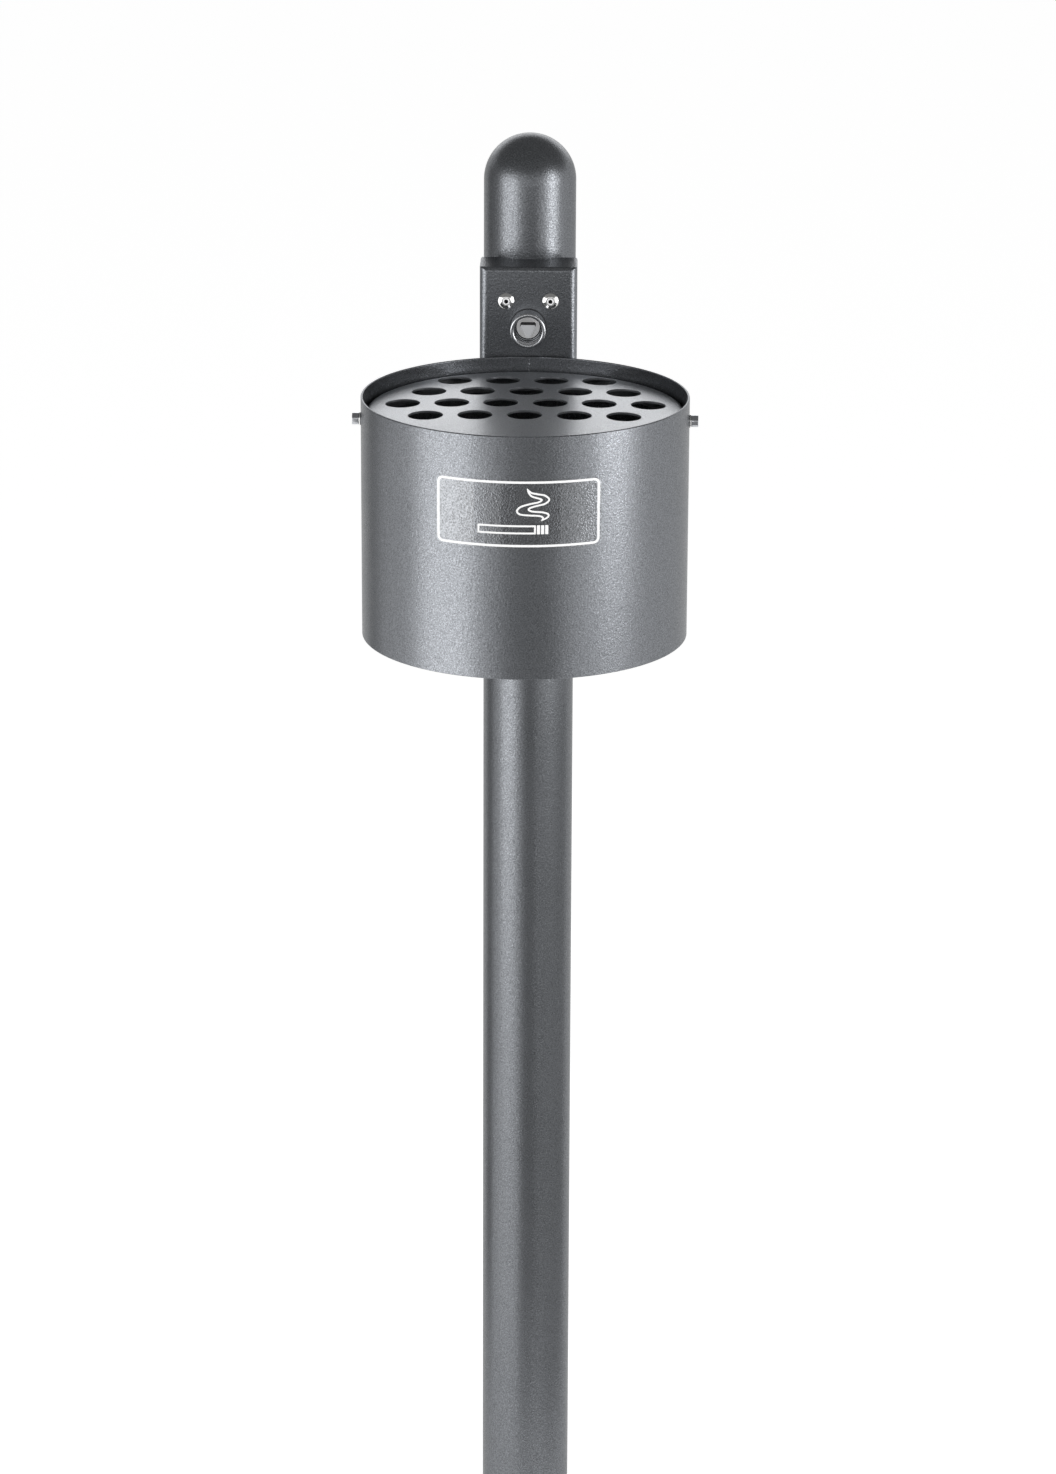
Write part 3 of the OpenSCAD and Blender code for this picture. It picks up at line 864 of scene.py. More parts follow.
@dataclass
class Post:
    """The post with its dome cap, foot plate and foot weld."""

    radius: float = 30.15 * MM
    wall: float = 2.9 * MM
    facets: int = 144
    dome_steps: tuple[int, int] = (40, 24)
    hole: float = 14 * MM
    hole_count: int = 4
    hole_turn: float = 45.0
    hole_facets: int = 62
    hole_edge: float = 0.5 * MM
    ring: float = 170 * MM
    drain: float = 20 * MM
    foot_round: float = 1.5 * MM
    foot_round_steps: int = 6
    foot_burr: float = 0.4 * MM
    weld: WeldBead = WeldBead(3.0 * MM, 11)
    weld_lift: float = 1.2 * MM
    weld_reach: float = 1.0 * MM
    weld_steps: int = 720
    tube: Box = field(default_factory=lambda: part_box("post_tube"))
    cap: Box = field(default_factory=lambda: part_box("dome_cap"))
    foot: Box = field(default_factory=lambda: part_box("base_plate"))

    @property
    def inner(self) -> float:
        """The inner radius of the tube and the cap."""
        return self.radius - self.wall

    def build(self) -> None:
        """Models and dresses the whole post."""
        self.build_tube()
        self.build_cap()
        self.build_foot()
        self.build_weld()

    def build_tube(self) -> None:
        """Turns the tube."""
        low, high = self.tube[0].z, self.tube[1].z
        section = [(self.radius, low), (self.radius, high), (self.inner, high), (self.inner, low)]
        tube = Bench.lathe("post_skin", section, Vector(), UP, self.facets)
        Bench.smooth(tube)
        place(tube, Body.STAND, SHADED_POST_COAT, Slot.COAT, "post_tube")

    def build_cap(self) -> None:
        """Turns the hemispherical cap with its short skirt."""
        low, top = self.cap[0].z, self.cap[1].z
        centre = (0.0, top - self.radius)
        outer_steps, inner_steps = self.dome_steps
        section = [(self.radius, low)]
        section += arc(centre, self.radius, 0, 90, outer_steps)
        section += arc(centre, self.inner, 90, 0, inner_steps)
        section += [(self.inner, low)]
        cap = Bench.lathe("dome_skin", section, Vector(), UP, self.facets)
        Bench.smooth(cap)
        place(cap, Body.STAND, SHADED_POST_COAT, Slot.COAT, "dome_cap")

    def build_foot(self) -> None:
        """Turns the foot plate, drills it and breaks its edges."""
        radius, top = self.foot[1].x, self.foot[1].z
        ease = self.foot_round
        section = [(0.0, 0.0), (radius - self.foot_burr, 0.0), (radius, self.foot_burr)]
        section += arc((radius - ease, top - ease), ease, 0, 90, self.foot_round_steps)
        section += [(0.0, top)]
        plate = Bench.lathe("foot_plate", section, Vector(), UP, self.facets, shut=False)
        through = UP * 2 * top
        drills = [Bench.drill(self.drain / 2, UP * top, through)]
        for i in range(self.hole_count):
            angle = math.radians(self.hole_turn + 360 * i / self.hole_count)
            spot = Vector((math.cos(angle), math.sin(angle), 0.0)) * self.ring / 2 + UP * top
            drills.append(Bench.drill(self.hole / 2, spot, through, self.hole_facets))
        Bench.cut(plate, drills)
        Bench.break_edges(plate, self.hole_edge)
        Bench.smooth(plate)
        place(plate, Body.STAND, SHADED_POST_COAT, Slot.COAT, "base_plate")

    def build_weld(self) -> None:
        """Lays the fillet weld round the foot of the tube."""
        lift = self.foot[1].z + self.weld_lift
        reach = self.radius + self.weld_reach
        turns = [math.radians(360 * i / self.weld_steps) for i in range(self.weld_steps + 1)]
        line = [Vector((reach * math.cos(t), reach * math.sin(t), lift)) for t in turns]
        place(self.weld.build("foot_weld", line), Body.STAND, SHADED_POST_COAT, Slot.COAT)


@dataclass(frozen=True)
class Eased:
    """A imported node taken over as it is, with its edges broken."""

    node: str
    body: Body
    finish: Finish
    slot: Slot
    width: float = 0.3 * MM
    level: float = 0.4
    sharp: float = 32.0

    def build(self) -> bpy.types.Object:
        """Copies the node, merges it, breaks its edges and dresses it.

        Returns:
            The new piece.
        """
        source = frame["nodes"][self.node]
        piece = Bench.copy(source, self.node + "_eased")
        piece.parent = None
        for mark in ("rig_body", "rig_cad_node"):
            del piece[mark]
        Bench.edit(piece)
        bpy.ops.mesh.customdata_custom_splitnormals_clear()
        bpy.ops.mesh.remove_doubles(threshold=2 * MERGE)
        bpy.ops.mesh.dissolve_limited(angle_limit=math.radians(self.level))
        Bench.leave()
        if self.width > 0.0:
            Bench.break_edges(piece, self.width, self.sharp)
        Bench.smooth(piece)
        place(piece, self.body, self.finish, self.slot, self.node)
        return piece


def fit(pieces: Iterable[Eased]) -> None:
    """Takes over small pieces one after the other."""
    for piece in pieces:
        piece.build()


@dataclass
class Carrier:
    """The folded cover on the post, with its blind rivets and brackets.

    The rivets' sections are in millimetres, as radius and height above the seat.
    """

    sheet: float = 2.0 * MM
    bend: float = 5.0 * MM
    bend_steps: int = 6
    front_bend: float = 0.6
    top_bend: float = 0.18
    post_seat: float = 30.3 * MM
    post_facets: int = 144
    clearance: float = 20 * MM
    reach: float = 5 * MM
    overrun: float = 10 * MM
    barrel: float = 9.15 * MM
    slot_half: float = 13.0 * MM
    slot_span: Pair = (933.6 * MM, 963.6 * MM)
    rivet_half: float = 14.3 * MM
    rivet_height: float = 1000.8 * MM
    side_rivet_height: float = 838.1 * MM
    rivet_bore: float = 2.45 * MM
    rivet_bore_facets: int = 30
    rivet_facets: int = 48
    rivet_sharp: float = 50.0
    rivet_head: Section = (
        (0.0, -5.0), (1.32, -4.2), (1.32, 1.2), (2.3, 1.2), (2.55, 1.2), (2.75, 1.55),
        (3.0, 1.52), (3.5, 1.3), (4.1, 0.98), (4.7, 0.62), (5.1, 0.34), (5.3, 0.12),
        (5.35, 0.0), (2.4, 0.0), (2.4, -5.1), (3.5, -5.2), (3.3, -9.8), (0.0, -10.1),
    )
    rivet_hub: Section = (
        (1.34, 1.2), (1.4, 1.72), (1.58, 1.9), (1.88, 1.88), (2.12, 1.7), (2.25, 1.2), (1.34, 1.2),
    )
    # A black lining with a bottom inside the rivet's bore: painted shade in the hole.
    rivet_bore_shade: Section = ((0.0, -4.0), (1.3, -4.0), (1.3, 1.5), (1.22, 1.5), (1.22, -0.7), (0.0, -0.8))
    fittings: tuple[Eased, ...] = (
        Eased("carrier_bracket", Body.STAND, COAT, Slot.COAT, 0.5 * MM),
        Eased("hinge_console", Body.STAND, COAT, Slot.COAT, 0.5 * MM),
        Eased("rubber_buffers", Body.STAND, RUBBER, Slot.RUBBER, 0.4 * MM),
    )
    box: Box = field(default_factory=lambda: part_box("carrier_cover"))
    lock: Box = field(default_factory=lambda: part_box("lock_housing"))

    def build(self) -> None:
        """Models and dresses the whole carrier."""
        self.build_cover()
        self.build_rivets()
        fit(self.fittings)

    def build_cover(self) -> None:
        """Folds the cover, hollows it from below and cuts its openings."""
        low, high = self.box
        cover = self.folded(low, high, self.bend)
        cover.name = "cover_shell"
        wall = Vector((self.sheet, self.sheet, 0.0))
        below = UP * self.overrun
        hollow = self.folded(low + wall - below, high - wall - UP * self.sheet, self.bend - self.sheet)
        Bench.cut(cover, [hollow] + self.cutters())
        Bench.smooth(cover)
        place(cover, Body.STAND, COAT, Slot.COAT, "carrier_cover")

    def folded(self, low: Vector, high: Vector, bend: float) -> bpy.types.Object:
        """Makes a block bent round at its upright edges and, more tightly, at its upper ones.

        Args:
            low: The block's lowest corner.
            high: The block's highest corner.
            bend: The radius of the upright bends.

        Returns:
            The bent block.
        """
        block = Bench.block(low, high)
        weights = block.data.attributes.new("bevel_weight_edge", "FLOAT", "EDGE")
        for edge in block.data.edges:
            ends = [block.data.vertices[i].co for i in edge.vertices]
            upright = abs(ends[0].z - ends[1].z) > self.sheet
            top = min(end.z for end in ends) > high.z - self.sheet
            front = max(end.y for end in ends) < low.y + self.sheet
            share = (self.front_bend if front else self.top_bend) * top
            weights.data[edge.index].value = 1.0 if upright else share
        Bench.apply(block, "BEVEL", width=bend, segments=self.bend_steps, limit_method="WEIGHT")
        return block

    def cutters(self) -> list[bpy.types.Object]:
        """Makes the shapes that the cover's openings are cut with.

        Returns:
            Rods for the post, the lock and the rivets, and a block for the hook's slot.
        """
        low, high = self.box
        ends = (UP * (low.z - self.clearance), UP * (high.z + self.clearance))
        tools = [Bench.rod(self.post_seat, ends, self.post_facets)]
        spot = Vector((0.0, low.y, middle(self.lock).z))
        tools.append(Bench.drill(self.barrel, spot, BACK * self.reach))
        for spot, way in self.rivet_spots():
            tools.append(Bench.drill(self.rivet_bore, spot, way * self.reach, self.rivet_bore_facets))
        bottom, top = self.slot_span
        corner = Vector((self.slot_half, self.reach, 0.0))
        seat = BACK * low.y
        tools.append(Bench.block(seat - corner + UP * bottom, seat + corner + UP * top))
        return tools

    def rivet_spots(self) -> list[tuple[Vector, Vector]]:
        """Lists the places of the rivets.

        Returns:
            The middle of each rivet's seat and the way that it faces.
        """
        low, high = self.box
        spots = []
        for side in SIDES:
            spots.append((Vector((side * self.rivet_half, low.y, self.rivet_height)), -BACK))
            spots.append((Vector((side * high.x, middle(self.box).y, self.side_rivet_height)), RIGHT * side))
        return spots

    def build_rivets(self) -> None:
        """Turns a blind rivet and sets four of them in the cover."""
        # The hubs glow as painted light; the black linings of the bores are painted shade.
        kinds = (
            ("rivets_turned", self.rivet_head, STAINLESS, ("cover_rivets",)),
            ("rivet_hubs", self.rivet_hub, GLOWING_PALE, ()),
            ("rivet_stems", self.rivet_bore_shade, SHADE_BLACK, ()),
        )
        spots = self.rivet_spots()
        for name, section, finish, nodes in kinds:
            turned = [(r * MM, h * MM) for r, h in section]
            copies = [Bench.lathe(name, turned, *spot, self.rivet_facets, shut=False) for spot in spots]
            group = Bench.join(name, copies)
            Bench.smooth(group, self.rivet_sharp)
            place(group, Body.STAND, finish, Slot.STAINLESS, *nodes)


@dataclass
class Lock:
    """The key lock: collar, plug with its stud, gasket, nut and cam."""

    collar: float = 11.5 * MM
    recess: float = 9.0 * MM
    lip: float = 1.0 * MM
    recess_depth: float = 12.0 * MM
    collar_depth: float = 13.2 * MM
    barrel: float = 9.0 * MM
    bore: float = 5.05 * MM
    pocket: float = 7.55 * MM
    shade: float = 8.2 * MM
    pocket_depth: float = 14.8 * MM
    corner: float = 0.3 * MM
    lip_steps: int = 6
    facets: int = 96
    face_slack: float = 0.1 * MM
    flank_tilt: float = 0.5
    plug: Eased = Eased("lock_plug", Body.LOCK, CAST, Slot.CHROME, 0.25 * MM)
    fittings: tuple[Eased, ...] = (
        Eased("lock_gasket", Body.STAND, RUBBER, Slot.RUBBER, 0.15 * MM),
        Eased("lock_nut", Body.STAND, ZINC, Slot.ZINC),
        Eased("lock_cam", Body.LOCK, ZINC, Slot.ZINC),
        Eased("cam_washer", Body.LOCK, ZINC, Slot.ZINC, 0.15 * MM),
        Eased("cam_screw", Body.LOCK, ZINC, Slot.ZINC),
        Eased("lock_seal", Body.LOCK, RUBBER, Slot.RUBBER, 0.0),
    )
    box: Box = field(default_factory=lambda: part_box("lock_housing"))

    def build(self) -> None:
        """Models and dresses the whole lock."""
        self.build_collar()
        self.build_plug()
        fit(self.fittings)

    def build_plug(self) -> None:
        """Takes over the plug, with a pale face that glows as painted light and painted shade on the flanks
        of its stud.
        """
        plug = self.plug.build()
        for finish in (GLOWING_PALE, SHADE_BLACK):
            plug.data.materials.append(finish.material())
        face = self.box[0].y + self.recess_depth
        for polygon in plug.data.polygons:
            if polygon.center.y > face - self.face_slack:
                polygon.material_index = 1
            elif abs(polygon.normal.y) < self.flank_tilt:
                polygon.material_index = 2

    def build_collar(self) -> None:
        """Turns the collar with its round lip, key recess and barrel."""
        low, high = self.box
        length = high.y - low.y
        floor = self.recess_depth
        origin = Vector((0.0, low.y, middle(self.box).z))
        outer = self.collar - self.lip
        inner = self.recess + self.lip
        section = [(self.pocket, floor), (self.shade, floor)]
        section += [(self.recess - self.corner, floor), (self.recess, floor - self.corner)]
        section += arc((inner, self.lip), self.lip, 180, 270, self.lip_steps)
        section += arc((outer, self.lip), self.lip, 270, 360, self.lip_steps)
        section += [(self.collar, self.collar_depth), (self.barrel, self.collar_depth), (self.barrel, length)]
        section += [(self.bore, length), (self.bore, self.pocket_depth), (self.pocket, self.pocket_depth)]
        collar = Bench.lathe("lock_collar", section, origin, BACK, self.facets)
        Bench.smooth(collar)
        place(collar, Body.STAND, CHROME, Slot.CHROME, "lock_housing")
        # The recess wall gets a darker copy of the chrome, and the ring of floor round the plug is near
        # black: both painted shade.
        for finish in (SHADED_RECESS, SHADE_BLACK):
            collar.data.materials.append(finish.material())
        for polygon in collar.data.polygons:
            spoke = polygon.center - origin
            if spoke.xz.length < self.recess and spoke.y > self.lip:
                polygon.material_index = 2 if spoke.xz.length < self.shade else 1


@dataclass
class Drum:
    """The rolled drum with its seam, base, hook, hinge bracket and pivots."""

    wall: float = 1.5 * MM
    rim: float = 0.74 * MM
    facets: int = 256
    radius: float = 103.5 * MM
    rim_steps: int = 5
    burr: float = 0.3 * MM
    pivot_bore: float = 2.65 * MM
    pivot_reach: float = 5 * MM
    seam: WeldBead = WeldBead(1.08 * MM, 5, step=0.5, voxel=0.3 * MM)
    seam_ends: Pair = (1.5 * MM, 1.6 * MM)
    seam_shift: float = 0.6 * MM
    seam_steps: int = 400
    fittings: tuple[Eased, ...] = (
        Eased("drum_base", Body.DRUM, COAT, Slot.COAT, 0.4 * MM),
        Eased("strike_hook", Body.DRUM, COAT, Slot.COAT, 0.4 * MM),
        Eased("hinge_bracket", Body.DRUM, COAT, Slot.COAT, 0.4 * MM),
        Eased("sieve_rest", Body.DRUM, COAT, Slot.COAT, 0.4 * MM),
        Eased("pivot_screws", Body.DRUM, SHADED_SCREW, Slot.STAINLESS, 0.35 * MM),
        Eased("pivot_washers", Body.DRUM, STAINLESS, Slot.STAINLESS, 0.2 * MM),
        Eased("pivot_spacers", Body.DRUM, STAINLESS, Slot.STAINLESS, 0.2 * MM),
        Eased("pivot_nuts", Body.DRUM, STAINLESS, Slot.STAINLESS),
    )
    box: Box = field(default_factory=lambda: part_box("drum_shell"))
    pivots: Box = field(default_factory=lambda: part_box("pivot_screws"))

    @property
    def axis(self) -> Vector:
        """The point of the drum's axis at floor height."""
        return BACK * middle(self.box).y

    def build(self) -> None:
        """Models and dresses the whole drum."""
        self.build_shell()
        self.build_seam()
        fit(self.fittings)

    def build_shell(self) -> None:
        """Turns the wall with a rounded rim and drills it for the pivots."""
        low, high = self.box[0].z, self.box[1].z
        outer, inner = self.radius, self.radius - self.wall
        burr = self.burr
        section = [(inner, low + burr), (inner + burr, low), (outer - burr, low), (outer, low + burr)]
        section += arc((outer - self.rim, high - self.rim), self.rim, 0, 90, self.rim_steps)
        section += arc((inner + self.rim, high - self.rim), self.rim, 90, 180, self.rim_steps)
        shell = Bench.lathe("drum_skin", section, self.axis, UP, self.facets)
        Bench.cut(shell, pivot_drills(self.axis, self.pivots, outer, self.pivot_bore, self.pivot_reach))
        Bench.smooth(shell)
        place(shell, Body.DRUM, COAT, Slot.COAT, "drum_shell")

    def build_seam(self) -> None:
        """Lays the ground seam where the wall is rolled shut at the back."""
        low, high = self.box[0].z + self.seam_ends[0], self.box[1].z - self.seam_ends[1]
        reach = self.radius - self.wall / 2
        line = []
        for i in range(self.seam_steps + 1):
            height = low + (high - low) * i / self.seam_steps
            line.append(self.axis + Vector((self.seam_shift, reach, height)))
        place(self.seam.build("drum_seam", line), Body.DRUM, COAT, Slot.COAT)


@dataclass
class Sieve:
    """The domed sieve with its turned-down edge and bushes."""

    radius: float = 100.0 * MM
    crown: float = 2.1 * MM
    sheet: float = 1.5 * MM
    bend: float = 2.5 * MM
    hole: float = 11.0 * MM
    pitch: float = 31.0 * MM
    row_pitch: float = 31.0 * MM
    rear_row: float = 72.0 * MM
    rows: tuple[int, ...] = (4, 5, 6, 5)
    grid: float = 5.0 * MM
    edge: float = 0.45 * MM
    sharp: float = 50.0
    bush_bore: float = 4.05 * MM
    bush_reach: float = 10 * MM
    facets: int = 240
    blank: float = 4 * MM
    lift: float = 10 * MM
    level: float = 0.9
    crumb: float = 0.4 * MM
    bend_steps: int = 6
    rim_slack: float = 0.5 * MM
    former_steps: int = 80
    former_margin: float = 5 * MM
    fittings: tuple[Eased, ...] = (Eased("sieve_bushes", Body.SIEVE, NYLON, Slot.NYLON, 0.15 * MM),)
    box: Box = field(default_factory=lambda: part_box("sieve_plate"))
    pivots: Box = field(default_factory=lambda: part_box("pivot_screws"))

    @property
    def axis(self) -> Vector:
        """The point of the sieve's axis at floor height."""
        return BACK * middle(self.box).y

    @property
    def flat(self) -> float:
        """The radius inside which the sieve's edge isn't bent."""
        return self.radius - self.bend

    @property
    def edge_height(self) -> float:
        """The height of the sieve's edge, above which its middle is domed."""
        return self.box[1].z - self.crown

    def build(self) -> None:
        """Models and dresses the sieve and its bushes."""
        self.build_plate()
        fit(self.fittings)

    def build_plate(self) -> None:
        """Punches a disc, presses it over a former and turns its edge down."""
        plate = self.punched_disc()
        former = self.former()
        Bench.apply(plate, "SHRINKWRAP", target=former, wrap_method="PROJECT", use_project_z=True,
                    use_negative_direction=True, use_positive_direction=True)
        Bench.scrap(former)
        self.turn_edge(plate)
        Bench.apply(plate, "SOLIDIFY", thickness=self.sheet, offset=-1.0)
        Bench.cut(plate, pivot_drills(self.axis, self.pivots, self.radius, self.bush_bore, self.bush_reach))
        Bench.break_edges(plate, self.edge)
        Bench.smooth(plate, self.sharp)
        place(plate, Body.SIEVE, LIT_PLATE_COAT, Slot.COAT, "sieve_plate")

    def punched_disc(self) -> bpy.types.Object:
        """Makes the flat top of the sieve, punched and divided into a grid.

        Returns:
            The flat disc above the sieve's place.
        """
        above = self.axis + UP * (self.box[1].z + self.lift)
        disc = Bench.rod(self.flat, (above - UP * self.blank, above), self.facets)
        disc.name = "sieve_skin"
        punches = []
        for row, count in enumerate(self.rows):
            for i in range(count):
                across = (i - (count - 1) / 2) * self.pitch
                spot = above + Vector((across, self.rear_row - row * self.row_pitch, 0.0))
                punches.append(Bench.drill(self.hole, spot, UP * self.lift))
        Bench.cut(disc, [Bench.join("punches", punches)])
        Bench.edit(disc)
        Bench.select_faces(disc, lambda face: face.normal.z < self.level)
        bpy.ops.mesh.delete(type="FACE")
        count = int(2 * self.flat / self.grid)
        for i in range(1, count):
            at = -self.flat + 2 * self.flat * i / count
            for normal in (RIGHT, BACK):
                bpy.ops.mesh.select_all(action="SELECT")
                bpy.ops.mesh.bisect(plane_co=self.axis + normal * at, plane_no=normal)
        bpy.ops.mesh.select_all(action="SELECT")
        bpy.ops.mesh.remove_doubles(threshold=self.crumb)
        Bench.leave()
        return disc

    def former(self) -> bpy.types.Object:
        """Turns the domed former that the disc is pressed over.

        Returns:
            The former.
        """
        wide = self.radius + self.former_margin
        section = []
        for i in range(self.former_steps + 1):
            reach = wide * i / self.former_steps
            section.append((reach, self.edge_height + self.crown * (1 - (reach / self.radius) ** 2)))
        return Bench.lathe("former", section, self.axis, UP, self.facets, shut=False)

    def turn_edge(self, plate: bpy.types.Object) -> None:
        """Bends the rim of the pressed disc down into its edge.

        Args:
            plate: The pressed disc.
        """
        limit = self.flat - self.rim_slack
        Bench.edit(plate, "EDGE")
        Bench.select_edges(plate, lambda a, b: min((v - self.axis).xy.length for v in (a, b)) > limit)
        reach, drop = self.flat, 0.0
        path = []
        for i in range(1, self.bend_steps + 1):
            turn = math.radians(90 * i / self.bend_steps)
            path.append((self.flat + self.bend * math.sin(turn), self.bend * (1 - math.cos(turn))))
        rise = self.crown * (1 - (self.flat / self.radius) ** 2)
        path.append((self.radius, self.edge_height + rise - self.box[0].z))
        for then, fall in path:
            bpy.ops.mesh.extrude_edges_move(TRANSFORM_OT_translate={"value": (0.0, 0.0, drop - fall)})
            grow = then / reach
            bpy.ops.transform.resize(value=(grow, grow, 1.0), center_override=self.axis)
            reach, drop = then, fall
        Bench.close(plate)


@dataclass
class Label:
    """The clear label on the drum with its printed pictogram.

    The pictogram's layout is in millimetres, right of the label's middle and below its top.
    """

    corner: float = 4.0 * MM
    frame_corner: float = 3.6 * MM
    film: float = 0.09 * MM
    ink: float = 0.03 * MM
    gap: float = 0.02 * MM
    frame_line: float = 1.45 * MM
    thin_line: float = 1.15 * MM
    smoke_line: float = 1.1
    tube_left: float = -24.9
    tube_right: float = 10.95
    tube_span: Pair = (28.4, 34.1)
    bar_count: int = 3
    bar_width: float = 1.9
    bar_gap: float = 0.62
    smoke: tuple[Section, ...] = (
        ((5.5, 5.2), (7.8, 7.7), (12.1, 8.8), (16.4, 9.7), (19.0, 12.3), (16.4, 14.9), (11.5, 16.1),
         (7.6, 17.3), (6.4, 18.4), (8.5, 19.6), (14.6, 20.2), (18.3, 21.4), (18.2, 23.3), (14.0, 25.7)),
        ((5.5, 5.2), (6.6, 8.1), (8.6, 10.2), (12.7, 11.5), (14.5, 12.4), (12.6, 13.8), (6.7, 15.1),
         (1.5, 16.8), (-0.7, 19.4), (1.2, 21.5), (6.7, 22.1), (12.8, 22.5), (15.3, 23.7), (14.4, 25.2)),
    )
    strip: float = 1.5 * MM
    margin: float = 0.7 * MM
    tube_corner: float = 0.2 * MM
    bar_corner: float = 0.15 * MM
    corner_steps: int = 6
    smoke_steps: int = 5
    smoke_tip: float = 0.3
    stand_off: float = 30 * MM
    radius: float = 103.5 * MM
    mandrel_reach: float = 20 * MM
    mandrel_facets: int = 1440
    box: Box = field(default_factory=lambda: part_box("label_film"))
    drum: Box = field(default_factory=lambda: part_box("drum_shell"))

    @property
    def size(self) -> Pair:
        """Half the label's width and its whole height in millimetres."""
        low, high = self.box
        return (high.x - low.x) / 2 / MM, (high.z - low.z) / MM

    def build(self) -> None:
        """Models and dresses the film and its print."""
        axis = BACK * middle(self.drum).y
        low, high = self.box[0].z - self.mandrel_reach, self.box[1].z + self.mandrel_reach
        mandrel = Bench.rod(self.radius, (axis + UP * low, axis + UP * high), self.mandrel_facets)
        film = self.build_film()
        self.wrap(film, mandrel, self.gap, self.film)
        place(film, Body.DRUM, FILM, Slot.FILM, "label_film")
        ink = self.build_print()
        self.wrap(ink, mandrel, self.gap + self.film + self.gap / 2, self.ink)
        place(ink, Body.DRUM, GLOWING_INK, Slot.FILM)
        Bench.scrap(mandrel)

    def spot(self, x: float, depth: float) -> Vector:
        """Gives the place of a point of the flat layout.

        Args:
            x: Distance right of the label's middle.
            depth: Distance below the label's top.

        Returns:
            The point in front of the drum.
        """
        low, high = self.box
        return Vector((middle(self.box).x + x * MM, low.y - self.stand_off, high.z - depth * MM))

    def patch(self, name: str, corners: tuple[Pair, Pair], rounding: float) -> bpy.types.Object:
        """Makes a flat rectangle with round corners, open for editing.

        Args:
            name: The patch's name.
            corners: Its upper left and lower right corner in the layout.
            rounding: Radius of its corners.

        Returns:
            The patch.
        """
        (left, top), (right, bottom) = corners
        loop = ((left, top), (right, top), (right, bottom), (left, bottom))
        obj = Bench.trace(name, [self.spot(*corner) for corner in loop])
        bpy.ops.mesh.select_all(action="SELECT")
        bpy.ops.mesh.edge_face_add()
        bpy.ops.mesh.select_all(action="SELECT")
        bpy.ops.mesh.bevel(offset=rounding, affect="VERTICES", segments=self.corner_steps)
        return obj

    @staticmethod
    def hollow(line: float) -> None:
        """Leaves only an outline of the face that is open for editing."""
        bpy.ops.mesh.select_mode(type="FACE")
        bpy.ops.mesh.select_all(action="SELECT")
        bpy.ops.mesh.inset(thickness=line, use_even_offset=True)
        bpy.ops.mesh.delete(type="FACE")

    def stroke(self, name: str, points: Sequence[Pair]) -> bpy.types.Object:
        """Draws a flowing line that tapers at its ends.

        Args:
            name: The line's name.
            points: The points of the layout that it passes.

        Returns:
            The flat line.
        """
        line = flowing(points, self.smoke_steps)
        sides = ([], [])
        for i, (x, depth) in enumerate(line):
            last, then = line[max(i - 1, 0)], line[min(i + 1, len(line) - 1)]
            along = Vector((then[0] - last[0], then[1] - last[1])).normalized()
            taper = min(1.0, self.smoke_tip + min(i, len(line) - 1 - i) / self.smoke_steps)
            reach = self.smoke_line / 2 * taper
            for side, sign in zip(sides, SIDES):
                side.append(self.spot(x - sign * along.y * reach, depth + sign * along.x * reach))
        edges = []
        for side in sides:
            edges.append(Bench.trace(name, side))
            Bench.leave()
        ribbon = Bench.join(name, edges)
        Bench.settle(ribbon)
        Bench.edit(ribbon, "EDGE")
        bpy.ops.mesh.bridge_edge_loops()
        Bench.leave()
        return ribbon

    def build_film(self) -> bpy.types.Object:
        """Cuts the flat film.

        Returns:
            The film before it is wrapped.
        """
        half, tall = self.size
        film = self.patch("label_sheet", ((-half, 0.0), (half, tall)), self.corner)
        Bench.leave()
        Bench.settle(film)
        return film

    def build_print(self) -> bpy.types.Object:
        """Draws the frame, the cigarette and its smoke.

        Returns:
            The flat print before it is wrapped.
        """
        inset = self.margin / MM
        half, tall = (side - inset for side in self.size)
        parts = [self.patch("frame_line", ((-half, inset), (half, tall)), self.frame_corner)]
        self.hollow(self.frame_line)
        top, bottom = self.tube_span
        parts.append(self.patch("tube", ((self.tube_left, top), (self.tube_right, bottom)), self.tube_corner))
        self.hollow(self.thin_line)
        for i in range(self.bar_count):
            left = self.tube_right + self.bar_gap + i * (self.bar_width + self.bar_gap)
            right = left + self.bar_width
            parts.append(self.patch("filter_bar", ((left, top), (right, bottom)), self.bar_corner))
        for line in self.smoke:
            parts.append(self.stroke("smoke", line))
        ink = Bench.join("label_print", parts)
        Bench.settle(ink)
        return ink

    def wrap(self, obj: bpy.types.Object, mandrel: bpy.types.Object, lift: float, thickness: float) -> None:
        """Divides a flat piece into strips, wraps it round the drum and thickens it.

        Args:
            obj: The flat piece.
            mandrel: A finely faceted rod of the drum's size.
            lift: Height of the piece's back above the drum.
            thickness: Thickness of the piece.
        """
        Bench.edit(obj)
        left, right = self.box[0].x, self.box[1].x
        count = int((right - left) / self.strip)
        for i in range(1, count):
            bpy.ops.mesh.select_all(action="SELECT")
            at = RIGHT * (left + (right - left) * i / count)
            bpy.ops.mesh.bisect(plane_co=at, plane_no=RIGHT)
        bpy.ops.mesh.select_all(action="SELECT")
        bpy.ops.mesh.remove_doubles(threshold=MERGE)
        Bench.leave()
        Bench.apply(obj, "SHRINKWRAP", target=mandrel, wrap_method="PROJECT", use_project_y=True,
                    use_positive_direction=True, wrap_mode="ABOVE_SURFACE", offset=lift)
        self.face_front(obj)
        Bench.apply(obj, "SOLIDIFY", thickness=thickness, offset=1.0)
        Bench.smooth(obj)

    @staticmethod
    def face_front(obj: bpy.types.Object) -> None:
        """Turns the faces of a wrapped piece away from the drum."""
        Bench.edit(obj, "FACE")
        Bench.select_faces(obj, lambda face: face.normal.y > 0.0)
        bpy.ops.mesh.flip_normals()
        Bench.leave()


